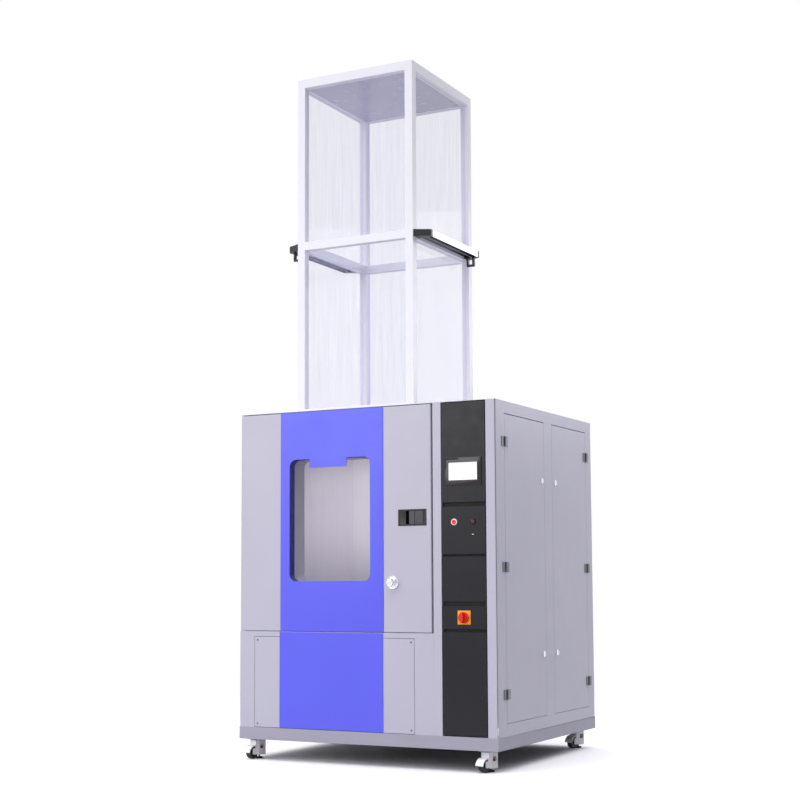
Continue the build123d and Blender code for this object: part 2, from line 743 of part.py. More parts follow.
def lower_front_panel():
    """The screwed panel under the door."""
    x0, x1 = DOOR_L + LOWER_LEFT + PANEL_GAP, DOOR_R - LOWER_RIGHT - PANEL_GAP
    return [tray(x0, x1, 0, PANEL_FOLD, PLINTH_H + PANEL_GAP, RAIL_Z0 - PANEL_GAP, "y+")]


def lower_front_cover():
    """The blue cover in line with the door's, on the lower panel and the rail."""
    x0, x1 = DOOR_L + LOWER_COVER_LEFT, DOOR_R - LOWER_COVER_RIGHT
    cover = block(x0, x1, -COVER_T, 0, PLINTH_H + PANEL_GAP, RAIL_Z0 + LOWER_COVER_RISE)
    return [chamfer(cover.faces().sort_by(Axis.Y)[0].edges(), 1)]


def panel_screws():
    """Screw heads on the lower front panel and around the rear panel."""
    x0 = DOOR_L + LOWER_LEFT + SCREW_INSET
    x1 = DOOR_R - LOWER_RIGHT - SCREW_INSET
    z0, z1 = PLINTH_H + SCREW_INSET, RAIL_Z0 - SCREW_INSET
    solids = []
    for x in (x0, x1):
        for z in (z0, z1):
            solids.append(chamfer(rod_y(-SCREW_T, 0, x, z, SCREW_R).edges().sort_by(Axis.Y)[0], 0.8))
    for x in (-BODY_W + SCREW_INSET, -BODY_W / 2, -SCREW_INSET):
        for z in (PLINTH_H + SCREW_INSET, BODY_H / 2, ROOF_Z0 - SCREW_INSET):
            head = rod_y(BODY_D, BODY_D + SCREW_T, x, z, SCREW_R)
            solids.append(chamfer(head.edges().sort_by(Axis.Y)[-1], 0.8))
    return solids


def handle_place():
    """The flush handle's left edge, right edge, bottom and top."""
    x1 = DOOR_R - HANDLE_RIGHT
    z0 = DOOR_Z0 + HANDLE_RISE - HANDLE_H / 2
    return x1 - HANDLE_W, x1, z0, z0 + HANDLE_H


def paddle_axis():
    """The paddle's upright pivot."""
    _, x1, _, _ = handle_place()
    return x1 - HANDLE_FRAME - HANDLE_WALL - FIT - PADDLE_BARREL_R - 8, -HANDLE_LIP + 1.5 + PADDLE_BARREL_R


def handle_bezel():
    """The handle's tub with its front flange, left cell, finger pocket and pivot pins."""
    x0, x1, z0, z1 = handle_place()
    f, w = HANDLE_FRAME, HANDLE_WALL
    bezel = block(x0, x1, -HANDLE_LIP, 0, z0, z1)
    bezel = chamfer(bezel.faces().sort_by(Axis.Y)[0].edges(), 1)
    bezel += block(x0 + f, x1 - f, 0, HANDLE_DEPTH, z0 + f, z1 - f)
    bezel -= block(x0 + f + w + HANDLE_CELL, x1 - f - w, -10, HANDLE_DEPTH - w, z0 + f + w, z1 - f - w)
    bezel -= block(x0 + f + w, x0 + f + w + HANDLE_CELL + 1, -10, -HANDLE_LIP + 1.5, z0 + f + w, z1 - f - w)
    bezel += block(x1 - f - w - 8, x1 - f - w, -HANDLE_LIP + 1.5, HANDLE_DEPTH - w, z0 + f + w, z1 - f - w)
    px, py = paddle_axis()
    for low, high in ((z0 + f + w, z0 + f + w + 8), (z1 - f - w - 8, z1 - f - w)):
        bezel += rod_z(low - 0.5, high, px, py, PADDLE_PIN_R)
    return [bezel]


def handle_paddle():
    """The paddle: a plate with a grip lip at its free end and a barrel at its pivot."""
    x0, x1, z0, z1 = handle_place()
    f, w = HANDLE_FRAME, HANDLE_WALL
    px, py = paddle_axis()
    low, high = z0 + f + w + 1, z1 - f - w - 1
    left = x0 + f + w + HANDLE_CELL + FINGER_GAP
    front = py - PADDLE_BARREL_R
    plate = block(left, px, front, front + PADDLE_T, low, high)
    plate -= block(left + GRIP_W, left + GRIP_W + 4, front - 1, front + 3, low - 1, high + 1)
    lip = block(left, left + PADDLE_T, front, front + 2 * PADDLE_T, low, high)
    paddle = plate + lip + rod_z(low, high, px, py, PADDLE_BARREL_R)
    return [paddle - rod_z(low - 1, low + 8, px, py, PADDLE_PIN_R + RUN_FIT)
            - rod_z(high - 8, high + 1, px, py, PADDLE_PIN_R + RUN_FIT)]


def knob_place():
    """The round knob's axis, as x and z."""
    return DOOR_R - KNOB_RIGHT, DOOR_Z0 + KNOB_RISE


def knob_rose():
    """The rose that carries the knob on the door's face."""
    x, z = knob_place()
    rose = rod_y(-ROSE_T, 0, x, z, ROSE_R)
    rose = fillet(rose.edges().sort_by(Axis.Y)[0], 4)
    return [rose - rod_y(-ROSE_T - 1, 1, x, z, KNOB_NECK_R + RUN_FIT)]


def door_knob():
    """A six-sided tapered knob on a round neck, with its shank in the door."""
    x, z = knob_place()
    back = -KNOB_PROUD * 0.42
    neck = rod_y(back, KNOB_SHANK, x, z, KNOB_NECK_R)
    plane = Plane((x, back, z), x_dir=(1, 0, 0), z_dir=(0, -1, 0))
    head = extrude(plane * RegularPolygon(KNOB_R, 6), amount=KNOB_PROUD + back)
    head = chamfer(head.faces().sort_by(Axis.Y)[0].edges(), 5)
    head = chamfer(head.faces().sort_by(Axis.Y)[-1].edges(), 3)
    return [neck, head]


def door_shell():
    """The insulated door: slab, plug, stepped window opening and the moving hinge leaves."""
    slab = block(DOOR_L, DOOR_R, 0, DOOR_T, DOOR_Z0, DOOR_Z1)
    slab = chamfer(slab.faces().sort_by(Axis.Y)[0].edges(), DOOR_EDGE)
    shell = slab + block(CH_L + PLUG_GAP, CH_R - PLUG_GAP, DOOR_T, MOUTH_Y, CH_Z0 + PLUG_GAP,
                         CH_Z1 - PLUG_GAP)
    rebate = LINING_T + FIT
    shell -= window_prism(0, -1, MOUTH_Y + 1)
    shell -= window_prism(rebate, -1, REVEAL + PANE_T + FIT)
    shell -= window_prism(rebate, MOUTH_Y - PANE_T - FIT, MOUTH_Y + 1)
    x0, x1, z0, z1 = handle_place()
    f = HANDLE_FRAME - FIT
    shell -= block(x0 + f, x1 - f, -1, HANDLE_DEPTH + FIT, z0 + f, z1 - f)
    x, z = knob_place()
    shell -= rod_y(-1, KNOB_SHANK + 2, x, z, KNOB_NECK_R + 1)
    return [shell] + [moving for _, moving in door_hinges()]


def door_front_cover():
    """The blue cover: a plate with the window, a tab from its top edge and a deep lining."""
    plate = block(COVER_L, COVER_R, -COVER_T, 0, DOOR_Z0, DOOR_Z1)
    plate = chamfer(plate.faces().sort_by(Axis.Y)[0].edges(), 1.5)
    cover = plate + window_prism(LINING_T, 0, REVEAL - FIT)
    cover -= window_prism(0, -COVER_T - 1, REVEAL + 1)
    centre = (WIN_L + WIN_R) / 2 + TAB_SHIFT
    tab = block(centre - TAB_W / 2, centre + TAB_W / 2, -COVER_T, 0, WIN_Z1 - TAB_H, WIN_Z1 + 1)
    tab = fillet(tab.edges().filter_by(Axis.Y).group_by(Axis.Z)[0], 6)
    return [cover + tab]


def door_glass():
    """The outer and the inner pane, each in its rebate."""
    grow = LINING_T
    return [window_prism(grow, REVEAL, REVEAL + PANE_T), window_prism(grow, MOUTH_Y - PANE_T, MOUTH_Y)]


def door_seal():
    """The gasket on the door's inner face around the plug, in four butted lengths."""
    y0, y1 = DOOR_T, JAMB_Y0 - FIT
    x0, x1 = CH_L - SEAL_INSET, CH_R + SEAL_INSET
    z0, z1 = CH_Z0 - SEAL_INSET, CH_Z1 + SEAL_INSET
    w = SEAL_W
    return [
        block(x0 - w, x1 + w, y0, y1, z1, z1 + w),
        block(x0 - w, x1 + w, y0, y1, z0 - w, z0),
        block(x0 - w, x0, y0, y1, z0, z1),
        block(x1, x1 + w, y0, y1, z0, z1),
    ]


def side_door(front):
    """A service door tray with its lock holes and moving hinge leaves."""
    y0, y1 = (SIDE_FRONT, SIDE_CENTRE_0) if front else (SIDE_CENTRE_1, SIDE_REAR)
    door = tray(-SIDE_DOOR_FOLD, 0, y0 + PANEL_GAP, y1 - PANEL_GAP, SIDE_SILL + PANEL_GAP,
                BODY_H - SIDE_HEAD - SIDE_TOP_GAP, "x-")
    for y, z in lock_places(front):
        door -= rod_x(-SIDE_DOOR_FOLD, 1, y, z, LOCK_SHANK_R + RUN_FIT)
    hinge_y, move = (SIDE_FRONT, 1) if front else (SIDE_REAR, -1)
    return [door] + [moving for _, moving in side_hinges(hinge_y, move)]


def lock_places(front):
    """The y and z of a service door's two locks, the lower first."""
    edge = SIDE_CENTRE_0 - PANEL_GAP - LOCK_INSET if front else SIDE_CENTRE_1 + PANEL_GAP + LOCK_INSET
    return [(edge, SIDE_SILL + LOCK_LOW), (edge, BODY_H - SIDE_HEAD - LOCK_HIGH)]


def side_lock(y, z):
    """A quarter-turn lock: slotted head, shank and the tongue behind the door."""
    head = rod_x(FIT, LOCK_PROUD, y, z, LOCK_HEAD_R)
    head = chamfer(head.edges().sort_by(Axis.X)[-1], 2.5)
    head -= block(LOCK_PROUD - 2.5, LOCK_PROUD + 1, y - 2, y + 2, z - LOCK_HEAD_R, z + LOCK_HEAD_R)
    back = -FRAME_FOLD - 1
    half = TONGUE_W / 2
    tongue = block(back - TONGUE_T, back, y - half, y + half, z - half, z + TONGUE_L)
    return [head, rod_x(back, FIT, y, z, LOCK_SHANK_R), tongue]


def tower_frame():
    """Square tubes: four posts, and rails at the foot, the middle and the top."""
    t = TUBE
    solids = []
    for x in (TW_L, TW_R - t):
        for y in (TW_F, TW_B - t):
            solids.append(tube(x, x + t, y, y + t, BODY_H, TW_Z1, "z"))
    for z0, z1 in tower_rail_heights():
        for y in (TW_F, TW_B - t):
            solids.append(tube(TW_L + t, TW_R - t, y, y + t, z0, z1, "x"))
        for x in (TW_L, TW_R - t):
            solids.append(tube(x, x + t, TW_F + t, TW_B - t, z0, z1, "y"))
    return solids


def tower_rail_heights():
    """Bottom and top of the tower's foot, middle and top rails."""
    middle = BODY_H + MID_RAIL_Z
    return [(BODY_H, BODY_H + TUBE), (middle, middle + TUBE), (TW_Z1 - TOP_RAIL_H, TW_Z1)]


def tower_panels():
    """Eight clear panels, one in each bay of the frame."""
    rails = tower_rail_heights()
    t, a, b = TUBE, PANEL_INSET, PANEL_INSET + PANEL_T
    solids = []
    for low, high in ((rails[0][1], rails[1][0]), (rails[1][1], rails[2][0])):
        z0, z1 = low + FIT, high - FIT
        x0, x1 = TW_L + t + FIT, TW_R - t - FIT
        y0, y1 = TW_F + t + FIT, TW_B - t - FIT
        solids += [
            block(x0, x1, TW_F + a, TW_F + b, z0, z1),
            block(x0, x1, TW_B - b, TW_B - a, z0, z1),
            block(TW_L + a, TW_L + b, y0, y1, z0, z1),
            block(TW_R - b, TW_R - a, y0, y1, z0, z1),
        ]
    return solids


def tower_top():
    """The grey sheet that closes the tower, flush with the underside of the top rails."""
    z0 = TW_Z1 - TOP_RAIL_H
    t = TUBE + FIT
    return [block(TW_L + t, TW_R - t, TW_F + t, TW_B - t, z0, z0 + TOP_SHEET_T)]


def side_rail_span():
    """Where a side rail's outer edge starts and ends along y."""
    return TW_F + SIDE_RAIL_START + SIDE_RAIL_SLANT, TW_B - SIDE_RAIL_END


def tower_rails():
    """A downward channel with a middle rib on each side of the tower."""
    y0, y1 = side_rail_span()
    y0, y1 = y0 + CAP_T, y1 - CAP_T
    z0 = BODY_H + SIDE_RAIL_Z
    z1 = z0 + SIDE_RAIL_H
    solids = []
    for x, out in ((TW_R, 1), (TW_L, -1)):
        def strip(o0, o1, za, zb):
            return block(min(x + out * o0, x + out * o1), max(x + out * o0, x + out * o1), y0, y1, za, zb)
        rail = strip(0, SIDE_RAIL_W, z1 - SIDE_RAIL_T, z1)
        for o in (0, SIDE_RAIL_W * 0.55, SIDE_RAIL_W - SIDE_RAIL_T):
            rail += strip(o, o + SIDE_RAIL_T, z0 if o else z0 + 8, z1)
        solids.append(rail)
    return solids


def rail_brackets():
    """Black end caps of the side rails. One cap of each rail has a square loop under it."""
    y0, y1 = side_rail_span()
    z0 = BODY_H + SIDE_RAIL_Z
    w, s = SIDE_RAIL_W, SIDE_RAIL_SLANT
    solids = []
    for x, out in ((TW_R, 1), (TW_L, -1)):
        for y, inward in ((y0, 1), (y1, -1)):
            points = [(x, y - inward * s), (x + out * w, y), (x + out * w, y + inward * CAP_T),
                      (x, y + inward * CAP_T)]
            cap = extrude(Plane((0, 0, z0)) * make_face(Polyline(points, close=True)), amount=SIDE_RAIL_H)
            solids.append(chamfer(cap.edges().filter_by(Axis.Z), 2.5))
            if out * inward < 0:
                xa, xb = sorted((x + out * HOOK_OUT, x + out * (HOOK_OUT + HOOK_W)))
                ya, yb = sorted((y + inward * 3, y + inward * (CAP_T - 3)))
                foot = z0 - HOOK_DROP
                solids.append(block(xa, xa + HOOK_T, ya, yb, foot + HOOK_T, z0))
                solids.append(block(xb - HOOK_T, xb, ya, yb, foot + HOOK_T, z0))
                solids.append(block(xa, xb, ya, yb, foot, foot + HOOK_T))
    return solids


def circulation_fan():
    """A centrifugal wheel: back plate, blades, front ring, hub and the shaft to its motor."""
    y0 = BAFFLE_Y + 25
    y1 = y0 + FAN_DEPTH
    wheel = rod_y(y1 - 3, y1, CH_C, FAN_Z, FAN_R)
    wheel += rod_y(y0, y0 + 3, CH_C, FAN_Z, FAN_R) - rod_y(y0 - 1, y0 + 4, CH_C, FAN_Z, FAN_R * 0.72)
    for i in range(FAN_BLADES):
        blade = Pos(FAN_R * 0.86, 0, 0) * Rot(0, 35, 0) * Box(FAN_R * 0.27, FAN_DEPTH - 2, 2)
        wheel += Pos(CH_C, (y0 + y1) / 2, FAN_Z) * Rot(0, 360 / FAN_BLADES * i, 0) * blade
    wheel += rod_y(y0 + 20, y1, CH_C, FAN_Z, 24)
    return [wheel, rod_y(y1, INS_Y1 + MOTOR_L - 12, CH_C, FAN_Z, SHAFT_R)]


def fan_motor():
    """The circulation fan's motor on the outside of the rear insulation."""
    motor = rod_y(INS_Y1 + 3, INS_Y1 + MOTOR_L, CH_C, FAN_Z, MOTOR_R)
    motor += centred(CH_C, FAN_Z, 150, 150, INS_Y1, INS_Y1 + 4)
    return [motor - rod_y(INS_Y1 - 1, INS_Y1 + MOTOR_L - 10, CH_C, FAN_Z, SHAFT_R + RUN_FIT)]


def coil_pack():
    """Evaporator and heater rods between two end plates that stand on the chamber floor."""
    y0, y1 = BAFFLE_Y + LINER_T + COIL_CLEAR, LINER_Y1 - COIL_CLEAR
    x0, x1 = CH_L + FIT, CH_R - FIT
    z1 = CH_Z0 + COIL_PLATE_H
    t = COIL_PLATE_T
    solids = [block(x0, x0 + t, y0, y1, CH_Z0, z1), block(x1 - t, x1, y0, y1, CH_Z0, z1)]
    core_z = CH_Z0 + COIL_RISE
    core_y = y0 + COIL_INSET
    core = block(x0 + t, x1 - t, core_y, y1 - COIL_INSET, core_z, core_z + COIL_H)
    for i in range(1, COIL_GROOVES + 1):
        z = core_z + COIL_H / (COIL_GROOVES + 1) * i
        core -= block(x0, x1, core_y - 1, core_y + COIL_GROOVE_H,
                      z - COIL_GROOVE_H / 2, z + COIL_GROOVE_H / 2)
    solids.append(core)
    for i in (-1, 0, 1):
        y = (y0 + y1) / 2 + HEATER_PITCH * i
        solids.append(rod_x(x0 + t, x1 - t, y, CH_Z0 + HEATER_RISE, HEATER_R))
    return solids


def compressor_unit():
    """Base plate on the cross beams, with a hermetic compressor and a liquid receiver."""
    left, right = cross_beams()
    x0, x1 = left + MACHINE_INSET, right + BEAM_W - MACHINE_INSET
    cx, cy = (x0 + x1) / 2 + COMP_SHIFT, BODY_D / 2 + MACHINE_SHIFT
    half = MACHINE_PLATE_D / 2
    plate = block(x0, x1, cy - half, cy + half, PLINTH_H, PLINTH_H + MACHINE_PLATE_T)
    z = PLINTH_H + MACHINE_PLATE_T
    foot_z = z + COMP_MOUNT_H
    shell_z = foot_z + COMP_FOOT_T
    shell = rod_z(shell_z, shell_z + COMP_H, cx, cy, COMP_R)
    shell = fillet(shell.edges().sort_by(Axis.Z)[-1], COMP_DOME)
    shell += block(cx - COMP_FOOT_W / 2, cx + COMP_FOOT_W / 2, cy - COMP_FOOT_W / 2, cy + COMP_FOOT_W / 2,
                   foot_z, shell_z)
    reach = COMP_FOOT_W / 2 - COMP_MOUNT_R - 1
    for sx in (-1, 1):
        for sy in (-1, 1):
            shell += rod_z(z, foot_z, cx + sx * reach, cy + sy * reach, COMP_MOUNT_R)
    receiver = rod_z(z, z + RECEIVER_H, cx - RECEIVER_SHIFT, cy, RECEIVER_R)
    receiver = fillet(receiver.edges().sort_by(Axis.Z)[-1], RECEIVER_DOME)
    return [plate, shell, receiver]


def condenser_height():
    """The height of the condenser's centre."""
    return PLINTH_H + MACHINE_PLATE_T + COND_H / 2


def condenser():
    """A finned coil with its fan ring, motor and feet, on a plate over two beams."""
    cx, y1 = condenser_place()
    y0 = y1 - COND_T
    z0 = PLINTH_H + MACHINE_PLATE_T
    cz = condenser_height()
    plate = block(-BODY_W + COND_RING, cross_beams()[0] + BEAM_W - MACHINE_INSET,
                  y0 - COND_PLATE_FRONT, y1 + MACHINE_INSET, PLINTH_H, z0)
    coil = centred(cx, cz, COND_W, COND_H, y0, y1)
    for i in range(1, COND_GROOVES + 1):
        z = z0 + COND_H / (COND_GROOVES + 1) * i
        coil -= block(cx - COND_W / 2 + COND_FRAME, cx + COND_W / 2 - COND_FRAME,
                      y1 - COND_GROOVE_H / 2, y1 + 1, z - COND_GROOVE_H / 2, z + COND_GROOVE_H / 2)
    ring_y = y0 - COND_FAN_T - COND_RING
    ring = centred(cx, cz, COND_W, COND_H, ring_y, y0)
    ring -= rod_y(ring_y - 1, y0 + 1, cx, cz, COND_FAN_R + 8)
    motor = rod_y(ring_y - COND_MOTOR_L, ring_y, cx, cz, COND_MOTOR_R)
    motor += centred(cx, cz, COND_W, COND_STRUT_W, ring_y - COND_STRUT_T, ring_y)
    motor += rod_y(ring_y, y0 - COND_RING / 2 - 2, cx, cz, SHAFT_R)
    return [plate, coil, ring, motor]


def condenser_fan():
    """Axial fan: pitched blades around a hub that runs on the motor's shaft."""
    cx, y1 = condenser_place()
    cz = condenser_height()
    mid = y1 - COND_T - (COND_RING + COND_FAN_T) / 2
    fan = rod_y(mid - 15, mid + 15, cx, cz, 36)
    for i in range(COND_BLADES):
        blade = Pos((COND_FAN_R + 30) / 2, 0, 0) * Rot(28, 0, 0) * Box(COND_FAN_R - 30, 3, 62)
        fan += Pos(cx, mid, cz) * Rot(0, 360 / COND_BLADES * i, 0) * blade
    return [fan - rod_y(mid - 30, mid + 30, cx, cz, SHAFT_R + RUN_FIT)]


def electrical_board():
    """A mounting plate on the chamber's right wall, with contactors, breakers and terminals."""
    x = BAY_X + BOARD_T
    y0, y1 = SIDE_FRONT + BOARD_FRONT, SIDE_CENTRE_0 - BOARD_BACK
    z0 = CH_Z0 + BOARD_RISE
    width, height = y1 - y0, BOARD_H

    def part(depth, left, right, low, high):
        """One device on the board, its edges as shares of the board's width and height."""
        return block(x, x + depth, y0 + width * left, y0 + width * right,
                     z0 + height * low, z0 + height * high)

    solids = [block(BAY_X, x, y0, y1, z0, z0 + height)]
    for i in range(4):
        left = 0.07 + 0.225 * i
        solids.append(part(CONTACTOR_D, left, left + 0.17, 0.23, 0.34))
        solids.append(part(BREAKER_D, left, left + 0.12, 0.55, 0.66))
    solids.append(part(TERMINAL_D, 0.05, 0.95, 0.05, 0.12))
    solids.append(part(DUCT_D, 0.05, 0.95, 0.42, 0.475))
    solids.append(part(DRIVE_D, 0.15, 0.85, 0.77, 0.92))
    return solids


def power_gland():
    """The supply cable's gland in the rear panel."""
    y = BODY_D
    body = rod_y(y - SHEET - 12, y + GLAND_PROUD, -GLAND_X, GLAND_Z, GLAND_R * 0.72)
    plane = Plane((-GLAND_X, y, GLAND_Z), x_dir=(1, 0, 0), z_dir=(0, 1, 0))
    hexes = extrude(plane * RegularPolygon(GLAND_R, 6), amount=9)
    dome = rod_y(y + 9, y + GLAND_PROUD, -GLAND_X, GLAND_Z, GLAND_R * 0.9)
    dome = chamfer(dome.edges().sort_by(Axis.Y)[-1], 3)
    plane = Plane((-GLAND_X, y - SHEET, GLAND_Z), x_dir=(1, 0, 0), z_dir=(0, -1, 0))
    nut = extrude(plane * RegularPolygon(GLAND_R, 6), amount=6)
    gland = body + hexes + dome + nut
    return [gland - rod_y(y - SHEET - 13, y + GLAND_PROUD + 1, -GLAND_X, GLAND_Z, 6)]


def wheel_axis(x):
    """The wheel axle's x and z for a caster whose swivel axis is at x, before it is turned."""
    return x - WHEEL_TRAIL, -CASTER_H + WHEEL_LIFT + WHEEL_R


def wheel_spot(x, y):
    """The middle of the wheel's axle once the caster is turned about its swivel axis."""
    angle = math.radians(CASTER_TURN)
    _, wz = wheel_axis(x)
    return x - WHEEL_TRAIL * math.cos(angle), y - WHEEL_TRAIL * math.sin(angle), wz


def turned(shape, x, y):
    """A caster's piece turned about the swivel axis at x, y into the pose that it stands in."""
    return Pos(x, y) * Rot(0, 0, CASTER_TURN) * Pos(-x, -y) * shape


def caster_housing(x, y):
    """The cast housing: block with the thumbwheel's window, fork arms, fender and axle."""
    half = HOUSING_W / 2
    fork = half - FORK_STEP
    top = -CASTER_PLATE_T - 2
    arm = WHEEL_W / 2 + 1
    wx, wz = wheel_axis(x)
    pocket = WHEEL_R + WHEEL_CLEAR
    main = block(x - HOUSING_BACK, x + HOUSING_FRONT, y - half, y + half, -HOUSING_Z0, top)
    main = fillet(main.edges().filter_by(Axis.Z), 9)
    head = block(wx + 6, x, y - fork, y + fork, wz + 10, top)
    arms = block(wx - 11, x - HOUSING_BACK + 10, y - fork, y + fork, -HOUSING_Z0 + 4, wz + 24)
    arms = fillet(arms.edges().filter_by(Axis.Y).group_by(Axis.X)[0], 8)
    fender = rod_y(y - fork, y + fork, wx, wz, pocket + FENDER_T)
    fender -= block(wx - 99, wx + 99, y - half, y + half, wz - 99, wz + 2)
    housing = main + head + arms + (fender - rod_y(y - half, y + half, wx, wz, pocket))
    housing -= rod_y(y - arm, y + arm, wx, wz, pocket)
    housing -= block(wx - 60, wx + 4, y - arm, y + arm, -CASTER_H, wz)
    housing += rod_y(y - arm - 1, y + arm + 1, wx, wz, AXLE_R)
    low, high = -THUMB_Z - 1, -THUMB_Z + THUMB_T + FOOT_TRAVEL + 1
    housing -= rod_z(low, high, x, y, THUMB_R + 1)
    housing -= block(x - WINDOW_CUT / 2, x + WINDOW_CUT / 2, y - half - 1, y + half + 1, low, high)
    housing -= rod_z(top - KINGPIN_L + 1, top + 1, x, y, KINGPIN_R + RUN_FIT)
    housing -= rod_z(-HOUSING_Z0 - 1, top - KINGPIN_L + 2, x, y, STEM_R + RUN_FIT)
    return [turned(housing, x, y)]


def caster_wheel(x, y):
    """The wheel: rounded tread and a recessed hub, bored for the axle."""
    wx, wz = wheel_axis(x)
    half = WHEEL_W / 2
    wheel = rod_y(y - half, y + half, wx, wz, WHEEL_R)
    wheel = fillet(wheel.edges(), 4)
    for side in (-1, 1):
        wheel -= rod_y(y + side * half - 3, y + side * half + 3, wx, wz, WHEEL_R * 0.62)
    wheel += rod_y(y - half, y + half, wx, wz, 9)
    wheel -= rod_y(y - half - 1, y + half + 1, wx, wz, AXLE_R + RUN_FIT)
    return [turned(wheel, x, y)]


def caster_foot(x, y):
    """The levelling foot: pad, screw stem below and above the thumbwheel, and that wheel."""
    pad = rod_z(-CASTER_H, -CASTER_H + PAD_T, x, y, PAD_R)
    pad = chamfer(pad.edges().sort_by(Axis.Z)[-1], 2)
    thumb = rod_z(-THUMB_Z, -THUMB_Z + THUMB_T, x, y, THUMB_R)
    for i in range(16):
        angle = math.radians(360 / 16 * i)
        thumb -= rod_z(-THUMB_Z - 1, -THUMB_Z + THUMB_T + 1, x + THUMB_R * math.cos(angle),
                       y + THUMB_R * math.sin(angle), 1.6)
    stem_top = -CASTER_PLATE_T - KINGPIN_L - FOOT_TRAVEL - 2
    lower = rod_z(-CASTER_H + PAD_T, -THUMB_Z, x, y, STEM_R)
    return [pad, lower, thumb, rod_z(-THUMB_Z + THUMB_T, stem_top, x, y, STEM_R)]


def save(name, solids):
    """Move the pieces into the machine's frame and write them as one file."""
    placed = [PLACE * solid for solid in solids]
    shape = placed[0] if len(placed) == 1 else Compound(children=placed)
    export_step(shape, f"parts/{name}.step")


def spot(x, y, z):
    """A point of the cabinet in the finished part's frame, in metres."""
    return tuple(round(v / 1000, 6) for v in (x - ORIGIN_X, y - ORIGIN_Y, z + CASTER_H))


